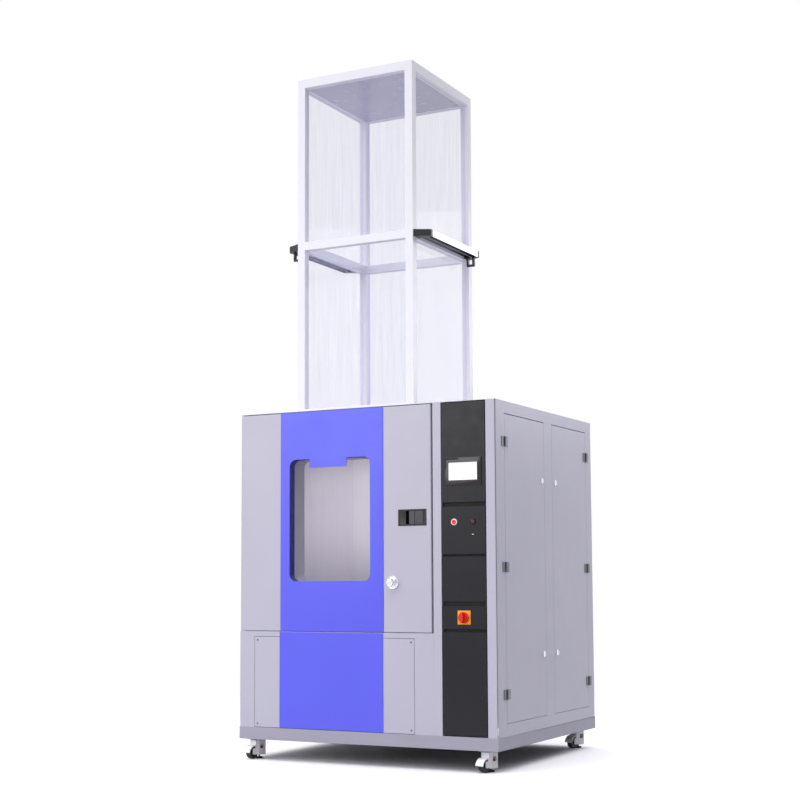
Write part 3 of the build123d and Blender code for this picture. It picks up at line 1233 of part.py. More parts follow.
def print_places():
    """The joint axes, openings and mounts in the finished part's frame."""
    places = control_places()
    px, py = paddle_axis()
    kx, kz = knob_place()
    cx, y1 = condenser_place()
    print("gland", spot(-GLAND_X, BODY_D + GLAND_PROUD, GLAND_Z))
    print("axis main_door", spot(DOOR_HINGE_X, DOOR_HINGE_Y, (DOOR_Z0 + DOOR_Z1) / 2))
    print("axis handle_paddle", spot(px, py, DOOR_Z0 + HANDLE_RISE))
    print("axis door_knob", spot(kx, 0, kz))
    print("axis side_door_front", spot(SIDE_HINGE_X, SIDE_FRONT, BODY_H / 2))
    print("axis side_door_rear", spot(SIDE_HINGE_X, SIDE_REAR, BODY_H / 2))
    for front, name in ((True, "front"), (False, "rear")):
        for (y, z), level in zip(lock_places(front), ("low", "high")):
            print(f"axis lock_{name}_{level}", spot(0, y, z))
    print("axis isolator_knob", spot(COLUMN_C, 0, places["isolator"]))
    print("axis circulation_fan", spot(CH_C, BAFFLE_Y + 65, FAN_Z))
    fan_y = y1 - COND_T - (COND_RING + COND_FAN_T) / 2
    print("axis condenser_fan", spot(cx, fan_y, condenser_height()))
    angle = math.radians(CASTER_TURN)
    print("axis wheel_direction", (round(-math.sin(angle), 6), round(math.cos(angle), 6), 0.0))
    for name, (x, y) in caster_spots().items():
        print(f"axis caster_{name}", spot(x, y, -CASTER_H))
        print(f"axis wheel_{name}", spot(*wheel_spot(x, y)))
    hx0, hx1, hz0, hz1 = handle_place()
    pocket_x = hx0 + HANDLE_FRAME + HANDLE_WALL + HANDLE_CELL
    rail_y0, rail_y1 = side_rail_span()
    loop_z = BODY_H + SIDE_RAIL_Z - HOOK_DROP + HOOK_T
    machine_y = BODY_D / 2 + MACHINE_SHIFT
    loop_a, loop_b = HOOK_OUT + HOOK_T + 1, HOOK_OUT + HOOK_W - HOOK_T - 1
    boxes = {
        "chamber": ((CH_L + 3, MOUTH_Y + 3, CH_Z0 + 3), (CH_R - 3, BAFFLE_Y - 3, CH_Z1 - 3)),
        "throat": ((TH_L + 3, TH_F + 3, CH_Z1 - 20), (TH_R - 3, TH_B - 3, BODY_H + 30)),
        "air_return": ((CH_L + 6, BAFFLE_Y - 6, CH_Z0 + 3),
                       (CH_R - 6, BAFFLE_Y + LINER_T + 6, CH_Z0 + BAFFLE_GAP - 2)),
        "air_supply": ((CH_L + 6, BAFFLE_Y - 6, CH_Z1 - BAFFLE_GAP + 2),
                       (CH_R - 6, BAFFLE_Y + LINER_T + 6, CH_Z1 - 3)),
        "tower": ((TW_L + TUBE + 3, TW_F + TUBE + 3, BODY_H + 3),
                  (TW_R - TUBE - 3, TW_B - TUBE - 3, TW_Z1 - TOP_RAIL_H - 3)),
        "top_recess": ((TW_L + TUBE + 3, TW_F + TUBE + 3, TW_Z1 - TOP_RAIL_H + TOP_SHEET_T + 2),
                       (TW_R - TUBE - 3, TW_B - TUBE - 3, TW_Z1 + 10)),
        "window_gap": ((WIN_L + 12, REVEAL + PANE_T + 3, WIN_Z0 + 12),
                       (WIN_R - 12, MOUTH_Y - PANE_T - 3, WIN_Z1 - 12)),
        "finger_pocket": ((pocket_x + 1, 1, hz0 + 9), (pocket_x + FINGER_GAP - 1, HANDLE_DEPTH - 4, hz1 - 9)),
        "loop_right": ((TW_R + loop_a, rail_y1 - CAP_T - 3, loop_z + 1),
                       (TW_R + loop_b, rail_y1 + 3, BODY_H + SIDE_RAIL_Z - 1)),
        "loop_left": ((TW_L - loop_b, rail_y0 - 3, loop_z + 1),
                      (TW_L - loop_a, rail_y0 + CAP_T + 3, BODY_H + SIDE_RAIL_Z - 1)),
        "service_bay": ((BAY_X + 100, SIDE_FRONT + 5, SIDE_SILL + 5),
                        (-FRAME_FOLD - 8, SIDE_REAR - 5, BODY_H - SIDE_HEAD - 5)),
        "machinery_bay": ((DOOR_L + LOWER_LEFT + 5, PANEL_FOLD + 5, PLINTH_H + 6),
                          (DOOR_R - LOWER_RIGHT - 5, machine_y - MACHINE_PLATE_D / 2 - 5, RAIL_Z0 - 5)),
    }
    for i, x in enumerate([-BODY_W] + cross_beams()):
        right = ([-BODY_W] + cross_beams() + [-BEAM_W])[i + 1]
        boxes[f"base_bay_{i + 1}"] = ((x + BEAM_W + 3, BEAM_W + 3, 2),
                                      (right - 3, BODY_D - BEAM_W - 3, PLINTH_H - 3))
    for name, (low, high) in boxes.items():
        print("box", name, spot(*low), spot(*high))
    print("size", round(RIGHT_LIMIT - LEFT_LIMIT, 3), round(BODY_D + GLAND_PROUD + KNOB_PROUD, 3),
          round(TW_Z1 + CASTER_H, 3))


PIECES = {
    "base_frame": base_frame(),
    "body_frame": body_frame(),
    "left_side_panel": left_side_panel(),
    "rear_panel": rear_panel(),
    "roof_panel": roof_panel(),
    "door_jamb": door_jamb(),
    "insulation": insulation(),
    "chamber_liner": chamber_liner(),
    "column_panels": column_panels(),
    "column_backing": column_backing(),
    "lower_front_panel": lower_front_panel(),
    "lower_front_cover": lower_front_cover(),
    "panel_screws": panel_screws(),
    "touch_screen_frame": touch_screen_frame(),
    "touch_screen_glass": touch_screen_glass(),
    "control_fittings": control_fittings(),
    "button_start": push_button(-1),
    "button_alarm": push_button(1),
    "isolator_plate": isolator_plate(),
    "isolator_knob": isolator_knob(),
    "door_shell": door_shell(),
    "door_front_cover": door_front_cover(),
    "door_glass": door_glass(),
    "door_seal": door_seal(),
    "handle_bezel": handle_bezel(),
    "handle_paddle": handle_paddle(),
    "knob_rose": knob_rose(),
    "door_knob": door_knob(),
    "side_door_front": side_door(True),
    "side_door_rear": side_door(False),
    "tower_frame": tower_frame(),
    "tower_panels": tower_panels(),
    "tower_top": tower_top(),
    "tower_rails": tower_rails(),
    "rail_brackets": rail_brackets(),
    "circulation_fan": circulation_fan(),
    "fan_motor": fan_motor(),
    "coil_pack": coil_pack(),
    "compressor_unit": compressor_unit(),
    "condenser": condenser(),
    "condenser_fan": condenser_fan(),
    "electrical_board": electrical_board(),
    "power_gland": power_gland(),
}
PIECES["hinge_leaves_fixed"] = [
    fixed
    for hinges in (door_hinges(), side_hinges(SIDE_FRONT, 1), side_hinges(SIDE_REAR, -1))
    for fixed, _ in hinges
]
for front, name in ((True, "front"), (False, "rear")):
    for (y, z), level in zip(lock_places(front), ("low", "high")):
        PIECES[f"lock_{name}_{level}"] = side_lock(y, z)
for name, (x, y) in caster_spots().items():
    PIECES[f"caster_housing_{name}"] = caster_housing(x, y)
    PIECES[f"caster_wheel_{name}"] = caster_wheel(x, y)
    PIECES[f"caster_foot_{name}"] = caster_foot(x, y)

for name, solids in PIECES.items():
    save(name, solids)
print_places()
print(len(PIECES), "pieces written")
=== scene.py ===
# %% [markdown]
# # Environmental test chamber
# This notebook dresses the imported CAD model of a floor-standing test chamber for a product
# picture. The CAD nodes keep their places and sizes. Sheet metal gets softened edges, small
# fittings get finer surfaces worked out from formulas, and every piece gets a procedural
# material. Lengths are millimetres in cabinet coordinates: x is 0 at the right side and
# negative to the left, y is 0 at the front face and grows to the back, and z is 0 under the
# body.

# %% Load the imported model
import bmesh
import bpy
import json
import math
import numpy as np
from mathutils import Matrix, Vector

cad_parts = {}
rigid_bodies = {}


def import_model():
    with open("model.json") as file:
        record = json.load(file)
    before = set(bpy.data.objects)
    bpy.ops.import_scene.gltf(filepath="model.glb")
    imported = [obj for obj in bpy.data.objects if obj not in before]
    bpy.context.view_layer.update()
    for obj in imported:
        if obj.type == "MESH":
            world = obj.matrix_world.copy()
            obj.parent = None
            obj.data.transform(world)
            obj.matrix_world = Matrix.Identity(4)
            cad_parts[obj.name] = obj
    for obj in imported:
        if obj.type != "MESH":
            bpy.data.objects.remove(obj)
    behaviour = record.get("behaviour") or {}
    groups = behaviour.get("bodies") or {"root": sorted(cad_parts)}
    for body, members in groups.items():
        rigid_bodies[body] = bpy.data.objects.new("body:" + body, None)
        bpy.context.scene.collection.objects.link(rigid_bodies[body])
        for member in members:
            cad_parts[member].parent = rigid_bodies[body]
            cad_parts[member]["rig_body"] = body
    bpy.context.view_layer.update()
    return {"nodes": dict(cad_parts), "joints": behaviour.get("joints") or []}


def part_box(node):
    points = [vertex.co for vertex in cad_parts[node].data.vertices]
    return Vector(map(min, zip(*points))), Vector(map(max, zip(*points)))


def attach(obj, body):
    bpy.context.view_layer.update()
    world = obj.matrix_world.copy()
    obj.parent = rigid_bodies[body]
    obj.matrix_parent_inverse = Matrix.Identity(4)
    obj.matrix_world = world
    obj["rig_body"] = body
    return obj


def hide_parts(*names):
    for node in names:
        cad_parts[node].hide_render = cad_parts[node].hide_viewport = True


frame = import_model()
nodes = frame["nodes"]
scene = bpy.context.scene

# %% [markdown]
# ## Where things are
# The CAD stands on the floor with its middle over the origin. The roof sheet gives the
# cabinet's own zero point: its right edge, its front edge, and its top, which is 1750 mm
# above the underside of the body. Everything else is read from the boxes of the CAD nodes
# and from the joints, so that the pieces follow the model when a size changes.

# %% Cabinet coordinates
ROOF_HEIGHT = 1750
roof_low, roof_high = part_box("roof_panel")
ZERO = np.array([roof_high.x, roof_low.y, roof_high.z - ROOF_HEIGHT / 1000])
joints = {joint["name"]: joint for joint in frame["joints"]}


def at(x, y, z):
    """A point given in cabinet millimetres, in metres in the model's frame."""
    return Vector(ZERO + np.array([x, y, z]) / 1000)


def span(node):
    """The low and high corner of a CAD node's box, in cabinet millimetres."""
    low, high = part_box(node)
    return (np.array(low) - ZERO) * 1000, (np.array(high) - ZERO) * 1000


def pivot(joint):
    """A joint's place in cabinet millimetres, and its axis."""
    found = joints[joint]
    return (np.array(found["pos_m"]) - ZERO) * 1000, np.array(found["axis"])


print("joints:", len(joints), "with the door's hinge at", pivot("main_door_hinge")[0].round(1))

# %% [markdown]
# ## One helper for nodes
# A material is a small tree of nodes. One helper adds any node with its settings and links,
# and another turns a screen colour into the linear light that the nodes work in.

# %% Node and colour helpers
def linear(code, factor=1.0):
    """A screen colour such as b9b8c4 as linear red, green, blue and alpha.
    Below 0.04 the curve is a straight line, above it a power of 2.4."""
    parts = np.array([int(code[i:i + 2], 16) / 255 for i in (0, 2, 4)])
    light = np.where(parts <= 0.04045, parts / 12.92, ((parts + 0.055) / 1.055) ** 2.4)
    return (*(light * factor).clip(0, 1), 1.0)


def add(tree, kind, settings=None, links=None):
    """Adds a node of one kind. A setting named as a property sets it, any other sets a socket,
    and each link goes to a socket."""
    node = tree.nodes.new("ShaderNode" + kind)
    for key, value in (settings or {}).items():
        if isinstance(key, str) and hasattr(node, key):
            setattr(node, key, value)
        else:
            node.inputs[key].default_value = value
    for key, source in (links or {}).items():
        tree.links.new(source, node.inputs[key])
    return node


def begin(name):
    """An empty material, its tree, its shader, and the piece's own coordinates in millimetres."""
    material = bpy.data.materials.new(name)
    material.use_nodes = True
    tree = material.node_tree
    place = add(tree, "TexCoord")
    mm = add(tree, "VectorMath", {"operation": "SCALE", "Scale": 1000}, {0: place.outputs["Object"]})
    return material, tree, tree.nodes["Principled BSDF"], mm.outputs[0]


# %% [markdown]
# ## Opaque finishes
# Paint, moulded plastic and bare metal differ in three things the eye can see: how the tone
# drifts over a large panel, how the gloss changes over a few centimetres, and how the surface
# rises and falls over a millimetre or two. So one function makes all of them from those three
# sizes, given along x, y and z. Brushed metal is the same pattern, stretched along the brush.

# %% Opaque finishes
NOISE_LOW, NOISE_HIGH = 0.3, 0.7
GLOSS_SWING = 0.04
SMOOTHEST = 0.02


def finish(name, code, roughness, tone_mm, tone, grain_mm, depth, metallic=0.0, specular=0.5):
    """A finish of one colour. The tone goes up and down by a share of itself in patches of
    tone_mm, the gloss by 0.04 in patches a fifth as large, and the surface by depth
    millimetres in grains of grain_mm."""
    material, tree, shader, mm = begin(name)
    patches = add(tree, "VectorMath", {"operation": "DIVIDE", 1: tone_mm}, {0: mm})
    drift = add(tree, "TexNoise", {"Scale": 1, "Detail": 3}, {"Vector": patches.outputs[0]})
    share = add(tree, "MapRange", {"From Min": NOISE_LOW, "From Max": NOISE_HIGH},
                {"Value": drift.outputs[0]})
    colour = add(tree, "Mix", {"data_type": "RGBA", 6: linear(code, 1 - tone), 7: linear(code, 1 + tone)},
                 {0: share.outputs[0]})
    gloss = add(tree, "TexNoise", {"Scale": 5, "Detail": 2}, {"Vector": patches.outputs[0]})
    rough = add(tree, "MapRange", {"From Min": NOISE_LOW, "From Max": NOISE_HIGH,
                                   "To Min": max(roughness - GLOSS_SWING, SMOOTHEST),
                                   "To Max": roughness + GLOSS_SWING}, {"Value": gloss.outputs[0]})
    grains = add(tree, "VectorMath", {"operation": "DIVIDE", 1: grain_mm}, {0: mm})
    height = add(tree, "TexNoise", {"Scale": 1, "Detail": 2}, {"Vector": grains.outputs[0]})
    raised = add(tree, "Bump", {"Distance": depth / 1000}, {"Height": height.outputs[0]})
    shader.inputs["Metallic"].default_value = metallic
    shader.inputs["Specular IOR Level"].default_value = specular
    tree.links.new(colour.outputs[2], shader.inputs["Base Color"])
    tree.links.new(rough.outputs[0], shader.inputs["Roughness"])
    tree.links.new(raised.outputs[0], shader.inputs["Normal"])
    return material


# Semi-gloss powder coat on the cabinet's sheets: even, with a faint orange peel 2 mm wide.
grey_paint = finish("grey_powder_coat", "bdbbc9", 0.40, (420, 420, 420), 0.02, (2, 2, 2), 0.006)
# The same coat on the plinth, a little darker and duller.
plinth_paint = finish("plinth_powder_coat", "a4a2b0", 0.48, (300, 300, 120), 0.04, (2, 2, 2), 0.008)
# Satin powder coat on the covers: a deep, clean colour with soft reflections.
blue_paint = finish("blue_powder_coat", "5c61ee", 0.36, (500, 500, 500), 0.02, (2.4, 2.4, 2.4), 0.006)
# The cover's folded edge inside the window, coloured dark navy as painted shade of the recess.
reveal_shade_paint = finish("window_reveal_coat", "232c86", 0.5, (200, 200, 200), 0.05, (2.4, 2.4, 2.4), 0.006)
# Dark paint with a fine sand texture on the control column, drawn at 1.2 mm.
dark_paint = finish("dark_textured_paint", "17161d", 0.32, (260, 260, 260), 0.08, (1.2, 1.2, 1.2), 0.010,
                    specular=0.3)
# Matt black primer behind the column's panels, which shows as black gaps.
black_primer = finish("black_primer", "0b0b0e", 0.65, (120, 120, 120), 0.10, (1.5, 1.5, 1.5), 0.010)
# Smooth white paint on the tower's square tubes.
tube_paint = finish("white_tube_paint", "e9e8ee", 0.34, (500, 500, 500), 0.02, (3, 3, 3), 0.004)
# Grey paint on the sheet that closes the tower.
top_paint = finish("grey_top_coat", "b9b7c2", 0.25, (300, 300, 300), 0.05, (3, 3, 3), 0.004)
# Brushed stainless steel of the chamber: streaks 1 mm wide and 90 mm long, upright.
steel = finish("brushed_stainless_steel", "d9d5dc", 0.44, (1.2, 1.2, 90), 0.05, (0.9, 0.9, 60), 0.003, 1.0)
# Zinc plating on hinges and screws: grey, cloudy and a little rough.
zinc = finish("zinc_plating", "74757c", 0.38, (6, 6, 6), 0.15, (1.5, 1.5, 1.5), 0.006, 1.0)
# Polished chrome on the knob and locks: almost a mirror, with faint polishing waves.
chrome = finish("polished_chrome", "e9e8ef", 0.10, (18, 18, 18), 0.02, (9, 9, 9), 0.002, 1.0)
# Dark nickel of the second button's bezel.
nickel = finish("black_nickel", "3a3638", 0.22, (8, 8, 8), 0.06, (4, 4, 4), 0.002, 1.0)
# Anodised aluminium of the side rails: satin, with draw lines along their length.
anodised = finish("anodised_aluminium", "b5b4ba", 0.32, (1.2, 160, 1.2), 0.06, (0.8, 120, 0.8), 0.003, 1.0)
# Folded aluminium fins: bright and dark lines, each about 2.5 mm wide, are painted highlight and painted
# shade of the fins.
fin_lines_painted_shade = finish("aluminium_fins", "a9a9ad", 0.40, (2.5, 60, 60), 0.25, (2.5, 80, 80), 0.15, 1.0)
# Rigid polyurethane foam around the chamber: pale yellow and open-pored.
foam = finish("rigid_foam", "d8cda8", 0.85, (40, 40, 40), 0.06, (2, 2, 2), 0.25)
# Injection-moulded nylon, black with a fine spark-eroded grain.
nylon = finish("black_nylon", "141418", 0.42, (20, 20, 20), 0.12, (0.9, 0.9, 0.9), 0.010)
# Charcoal moulded plastic of the handle's paddle.
charcoal = finish("charcoal_plastic", "3e3e45", 0.36, (20, 20, 20), 0.06, (0.9, 0.9, 0.9), 0.008)
# Black silicone rubber of the door seal and foot pads: dull, with a dusty bloom.
rubber = finish("silicone_rubber", "17171a", 0.62, (30, 30, 30), 0.20, (1.6, 1.6, 1.6), 0.015)
# Glossy black plastic around the display, with a warm cast.
gloss_black = finish("gloss_black_plastic", "190c0f", 0.14, (60, 60, 60), 0.10, (8, 8, 8), 0.001)
# Bright red moulded plastic of the isolator's dial.
red_plastic = finish("red_plastic", "e21a14", 0.24, (20, 20, 20), 0.05, (3, 3, 3), 0.003)
# Signal yellow moulded plastic of the isolator's plate.
yellow_plastic = finish("yellow_plastic", "f7a013", 0.30, (30, 30, 30), 0.04, (3, 3, 3), 0.003)
# White glossy plastic of the first button's ring.
white_plastic = finish("white_plastic", "ebeaf0", 0.20, (15, 15, 15), 0.02, (4, 4, 4), 0.001)
# Clear bright red cap of the first button.
bright_red = finish("bright_red_cap", "f3161c", 0.22, (8, 8, 8), 0.06, (5, 5, 5), 0.001)
# Dark red domed lens of the second button, unlit.
dark_red = finish("dark_red_lens", "5f0a10", 0.10, (8, 8, 8), 0.10, (5, 5, 5), 0.001)
# Ivory powder coat on the cast caster housings, slightly pitted by casting.
ivory = finish("ivory_cast_coat", "f6f4f6", 0.34, (60, 60, 60), 0.02, (1.8, 1.8, 1.8), 0.030)
# Dark red nylon of the casters' thumbwheels.
brick_red = finish("thumbwheel_nylon", "8c2415", 0.40, (10, 10, 10), 0.08, (1, 1, 1), 0.010)
# Hammered black enamel of the motors and the compressor.
enamel = finish("black_enamel", "1b1b1f", 0.28, (40, 40, 40), 0.10, (6, 6, 6), 0.040)
print("opaque finishes:", len(bpy.data.materials))

# %% [markdown]
# ## Clear plates
# The tower's acrylic and the window's glass are thin, so light passes through them almost
# unbent, and a see-through surface with a faint tint and a sharp reflection is enough. Wiping
# leaves faint upright streaks on the acrylic, about 12 mm wide and 400 mm long.

# %% Clear plates
def clear(name, code, haze, streak):
    """A thin clear plate: its tint covers a share of haze, and wiped streaks change that share."""
    material, tree, shader, mm = begin(name)
    wiped = add(tree, "VectorMath", {"operation": "DIVIDE", 1: (12, 12, 400)}, {0: mm})
    pattern = add(tree, "TexNoise", {"Scale": 1, "Detail": 4}, {"Vector": wiped.outputs[0]})
    cover = add(tree, "MapRange", {"From Min": NOISE_LOW, "From Max": NOISE_HIGH, "To Min": haze - streak,
                                   "To Max": haze + streak}, {"Value": pattern.outputs[0]})
    tree.links.new(cover.outputs[0], shader.inputs["Alpha"])
    shader.inputs["Base Color"].default_value = linear(code)
    shader.inputs["Roughness"].default_value = 0.05
    shader.inputs["IOR"].default_value = 1.49
    return material


# Clear acrylic: a faint violet cast and soft streaks.
acrylic = clear("clear_acrylic", "a8aade", 0.085, 0.02)
# Toughened float glass: almost no cast, and clean.
glass = clear("float_glass", "aeb2c4", 0.05, 0.01)
print("clear plates:", acrylic.name, glass.name)

# %% [markdown]
# ## The lit display
# The touch screen shows a pale page. Plain fields, without any lettering, keep it from looking
# like a blank sheet. Each field is a rectangle, found by comparing the place on the glass with
# the rectangle's edges as shares of the screen's width and height.

# %% The lit display
def lit_display(name):
    """A backlit page: white, with a header bar and three plain fields in pale tints."""
    material, tree, shader, mm = begin(name)
    low, high = (np.array(corner) * 1000 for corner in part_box("touch_screen_glass"))
    scaled = add(tree, "Mapping", {"vector_type": "TEXTURE", "Location": tuple(low),
                                   "Scale": (high[0] - low[0], 1, high[2] - low[2])}, {0: mm})
    page = add(tree, "SeparateXYZ", {}, {0: scaled.outputs[0]})
    colour = None
    fields = (((0.5, 0.5), (0.95, 0.05), "e3e6f4"), ((0.26, 0.2), (0.63, 0.17), "eef1fa"),
              ((0.74, 0.2), (0.63, 0.17), "eef1fa"), ((0.5, 0.44), (0.22, 0.12), "f0eff6"))
    for (x, half_x), (z, half_z), tint in fields:
        in_x = add(tree, "Math", {"operation": "COMPARE", 1: x, 2: half_x}, {0: page.outputs["X"]})
        in_z = add(tree, "Math", {"operation": "COMPARE", 1: z, 2: half_z}, {0: page.outputs["Z"]})
        inside = add(tree, "Math", {"operation": "MULTIPLY"}, {0: in_x.outputs[0], 1: in_z.outputs[0]})
        colour = add(tree, "Mix", {"data_type": "RGBA", 6: linear("fcfcff"), 7: linear(tint)},
                     {0: inside.outputs[0], **({6: colour.outputs[2]} if colour else {})})
    tree.links.new(colour.outputs[2], shader.inputs["Emission Color"])
    shader.inputs["Emission Strength"].default_value = 0.9
    shader.inputs["Base Color"].default_value = linear("6c6c74")
    shader.inputs["Roughness"].default_value = 0.12
    return material


display = lit_display("lit_display")
print("display has", len(display.node_tree.nodes), "nodes")

# %% [markdown]
# ## Materials on the CAD nodes
# Most nodes are folded sheet or plain machined parts, and their CAD shapes are already right.
# Most of the cabinet is grey painted sheet, so every node starts with the grey paint, and then
# each other part takes its own material.

# %% Materials on the CAD nodes
def dress(material, *names):
    """Gives every slot of the named CAD nodes one material."""
    for name in names:
        mesh = nodes[name].data
        mesh.materials.clear()
        mesh.materials.append(material)


SPOTS = ("fl", "fr", "rl", "rr")
LOCKS = [name for name in nodes if name.startswith("lock_")]
dress(grey_paint, *nodes)
dress(plinth_paint, "base_frame")
dress(blue_paint, "lower_front_cover", "door_front_cover")
dress(dark_paint, "column_panels")
dress(black_primer, "column_backing")
dress(tube_paint, "tower_frame")
dress(top_paint, "tower_top")
dress(steel, "chamber_liner")
dress(foam, "insulation")
dress(zinc, "panel_screws", "hinge_leaves_fixed", "electrical_board")
dress(chrome, "knob_rose", "door_knob", *LOCKS)
dress(acrylic, "tower_panels")
dress(glass, "door_glass")
dress(anodised, "tower_rails")
dress(nylon, "rail_brackets", "handle_bezel", "condenser_fan", *[f"caster_wheel_{spot}" for spot in SPOTS])
dress(charcoal, "handle_paddle")
dress(rubber, "door_seal")
dress(gloss_black, "touch_screen_frame")
dress(display, "touch_screen_glass")
dress(nickel, "control_fittings")
dress(yellow_plastic, "isolator_plate")
dress(red_plastic, "isolator_knob")
dress(enamel, "fan_motor", "compressor_unit")
# The fins' bright and dark lines are painted highlight and painted shade.
dress(fin_lines_painted_shade, "coil_pack", "condenser", "circulation_fan")
dress(ivory, *[f"caster_housing_{spot}" for spot in SPOTS])
dress(brick_red, *[f"caster_foot_{spot}" for spot in SPOTS])
print("dressed nodes:", len(nodes))

# %% [markdown]
# ## Softened sheet metal
# Folded and painted sheet never has a knife edge: the coat rounds it to a millimetre or two,
# and that round edge is what catches the light. A CAD node's mesh is loose triangles, so a
# copy is merged, its flat triangles are joined into faces, and a bevel rounds its edges. The
# copy then stands for the node. Faces that stand out from the right side belong to the hinge
# leaves of a service door, so they take zinc. The folded edge inside the window takes dark
# navy as painted shade of the recess.

# %% Softened sheet metal
SHARP_FROM = math.radians(32)
BEVEL_FROM = math.radians(40)
FLAT_WITHIN = math.radians(0.5)
MERGE_M = 2e-6


def shaded(mesh):
    """Smooth shading, with an edge kept sharp where two faces meet at more than 32 degrees."""
    mesh.shade_smooth()
    mesh.set_sharp_from_angle(angle=SHARP_FROM)


def softened(node, width, fitting=None, is_fitting=None):
    """A merged copy of a CAD node with edges rounded to width millimetres. Faces whose centres,
    in cabinet millimetres, pass is_fitting take the material fitting."""
    source = nodes[node]
    mesh = source.data.copy()
    mesh.name = f"{node}_soft"
    shape = bmesh.new()
    shape.from_mesh(mesh)
    bmesh.ops.remove_doubles(shape, verts=shape.verts, dist=MERGE_M)
    bmesh.ops.dissolve_limit(shape, angle_limit=FLAT_WITHIN, verts=shape.verts, edges=shape.edges)
    shape.to_mesh(mesh)
    shape.free()
    if fitting:
        mesh.materials.append(fitting)
        centres = np.empty(len(mesh.polygons) * 3)
        mesh.polygons.foreach_get("center", centres)
        found = is_fitting(*((centres.reshape(-1, 3) - ZERO) * 1000).T)
        mesh.polygons.foreach_set("material_index", found.astype(np.int32))
    shaded(mesh)
    copy = bpy.data.objects.new(f"{node}_soft", mesh)
    scene.collection.objects.link(copy)
    edge = copy.modifiers.new("rounded_edges", "BEVEL")
    edge.width = width / 1000
    edge.segments = 2
    edge.limit_method = "ANGLE"
    edge.angle_limit = BEVEL_FROM
    edge.harden_normals = True
    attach(copy, source["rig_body"])
    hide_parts(node)


PROUD_BY = 0.1


def proud_of_side(x, y, z):
    """True for faces that stand out from the right side."""
    return x > PROUD_BY


cover_low, cover_high = span("door_front_cover")
cover_middle = (cover_low + cover_high) / 2
FOLD_DEPTH, WINDOW_REACH_X, WINDOW_REACH_Z = 3, 270, 350


def in_shaded_reveal(x, y, z):
    """True for faces of the blue cover 3 mm behind its front and around its window, which take the dark navy
    of the recess's painted shade.
    """
    return ((y > cover_low[1] + FOLD_DEPTH) & (abs(x - cover_middle[0]) < WINDOW_REACH_X)
            & (abs(z - cover_middle[2]) < WINDOW_REACH_Z))


ROUNDED = {
    "body_frame": 1.2, "base_frame": 1.5, "column_panels": 0.9, "lower_front_panel": 0.9,
    "lower_front_cover": 0.8, "handle_bezel": 0.8, "handle_paddle": 0.8, "tower_rails": 0.5,
    "rail_brackets": 1.0, "touch_screen_frame": 0.8, "isolator_plate": 0.8,
    **{f"caster_housing_{spot}": 1.2 for spot in SPOTS},
}
# The folded edge inside the window takes dark navy as painted shade of the recess.
softened("door_front_cover", 0.8, reveal_shade_paint, in_shaded_reveal)
softened("side_door_front", 0.9, zinc, proud_of_side)
softened("side_door_rear", 0.9, zinc, proud_of_side)
for node, width in ROUNDED.items():
    softened(node, width)
print("softened nodes:", len(ROUNDED) + 3)

# %% [markdown]
# ## Surfaces from formulas
# Turned and moulded fittings are easier to describe by a formula than by hand. A surface is a
# function of two numbers that run from 0 to 1, worked out for a whole grid at once. Several
# surfaces, each with its own material, make one piece that rides on a body of the model.

# %% Surfaces from formulas
def surface(rows, columns, formula, loop_rows=False, loop_columns=False):
    """The points of formula(u, v) on a grid and the four-sided faces between them. A looped
    direction joins its last line of points to its first."""
    u, v = np.meshgrid(np.linspace(0, 1, rows, endpoint=not loop_rows),
                       np.linspace(0, 1, columns, endpoint=not loop_columns), indexing="ij")
    points = np.stack(np.broadcast_arrays(*formula(u, v)), axis=-1).reshape(-1, 3)
    i, j = np.meshgrid(np.arange(rows - (not loop_rows)), np.arange(columns - (not loop_columns)),
                       indexing="ij")
    next_i, next_j = (i + 1) % rows, (j + 1) % columns
    faces = np.stack([i * columns + j, next_i * columns + j, next_i * columns + next_j,
                      i * columns + next_j], axis=-1).reshape(-1, 4)
    return points, faces


def piece(name, body, parts, *stands_for):
    """One object of several surfaces in cabinet millimetres, each with its material. Points that
    coincide, as at a pole, are merged, and the faces are turned outwards."""
    points, faces, slots, start = [], [], [], 0
    mesh = bpy.data.meshes.new(name)
    for (part_points, part_faces), material in parts:
        if material.name not in mesh.materials:
            mesh.materials.append(material)
        points.append(part_points)
        faces.append(part_faces + start)
        slots.append(np.full(len(part_faces), mesh.materials.find(material.name), dtype=np.int32))
        start += len(part_points)
    mesh.from_pydata((ZERO + np.concatenate(points) / 1000).tolist(), [], np.concatenate(faces).tolist())
    mesh.polygons.foreach_set("material_index", np.concatenate(slots))
    shape = bmesh.new()
    shape.from_mesh(mesh)
    bmesh.ops.remove_doubles(shape, verts=shape.verts, dist=MERGE_M)
    bmesh.ops.recalc_face_normals(shape, faces=shape.faces)
    shape.to_mesh(mesh)
    shape.free()
    shaded(mesh)
    made = bpy.data.objects.new(name, mesh)
    scene.collection.objects.link(made)
    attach(made, body)
    if stands_for:
        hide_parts(*stands_for)
    print(name, len(mesh.polygons), "faces")


def turned(centre, axis, profile, around=48, ripple=0.0, waves=0, beyond=0.0, closed=False):
    """A turned shape. The profile lists radius and distance along the axis; the radius grows and
    shrinks by a share of itself, waves times around, where it is larger than beyond."""
    axis = np.array(axis) / np.linalg.norm(axis)
    side = np.cross(axis, (0, 0, 1) if abs(axis[2]) < 0.9 else (1, 0, 0))
    side = side / np.linalg.norm(side)
    across = np.cross(axis, side)
    profile = np.array(profile, dtype=float)
    looped = np.concatenate([profile, profile[:1]])
    steps = np.arange(len(looped))

    def formula(u, v):
        """Centre plus axis times distance, plus the radius times the turning direction."""
        where = v * (len(profile) - (0 if closed else 1))
        radius = np.interp(where, steps, looped[:, 0])
        along = np.interp(where, steps, looped[:, 1])
        turn = 2 * np.pi * u
        radius = radius * (1 + ripple * np.cos(waves * turn) * (radius > beyond))
        out = np.cos(turn)[..., None] * side + np.sin(turn)[..., None] * across
        place = np.array(centre) + along[..., None] * axis + radius[..., None] * out
        return place[..., 0], place[..., 1], place[..., 2]

    return surface(around, len(profile), formula, loop_rows=True, loop_columns=closed)


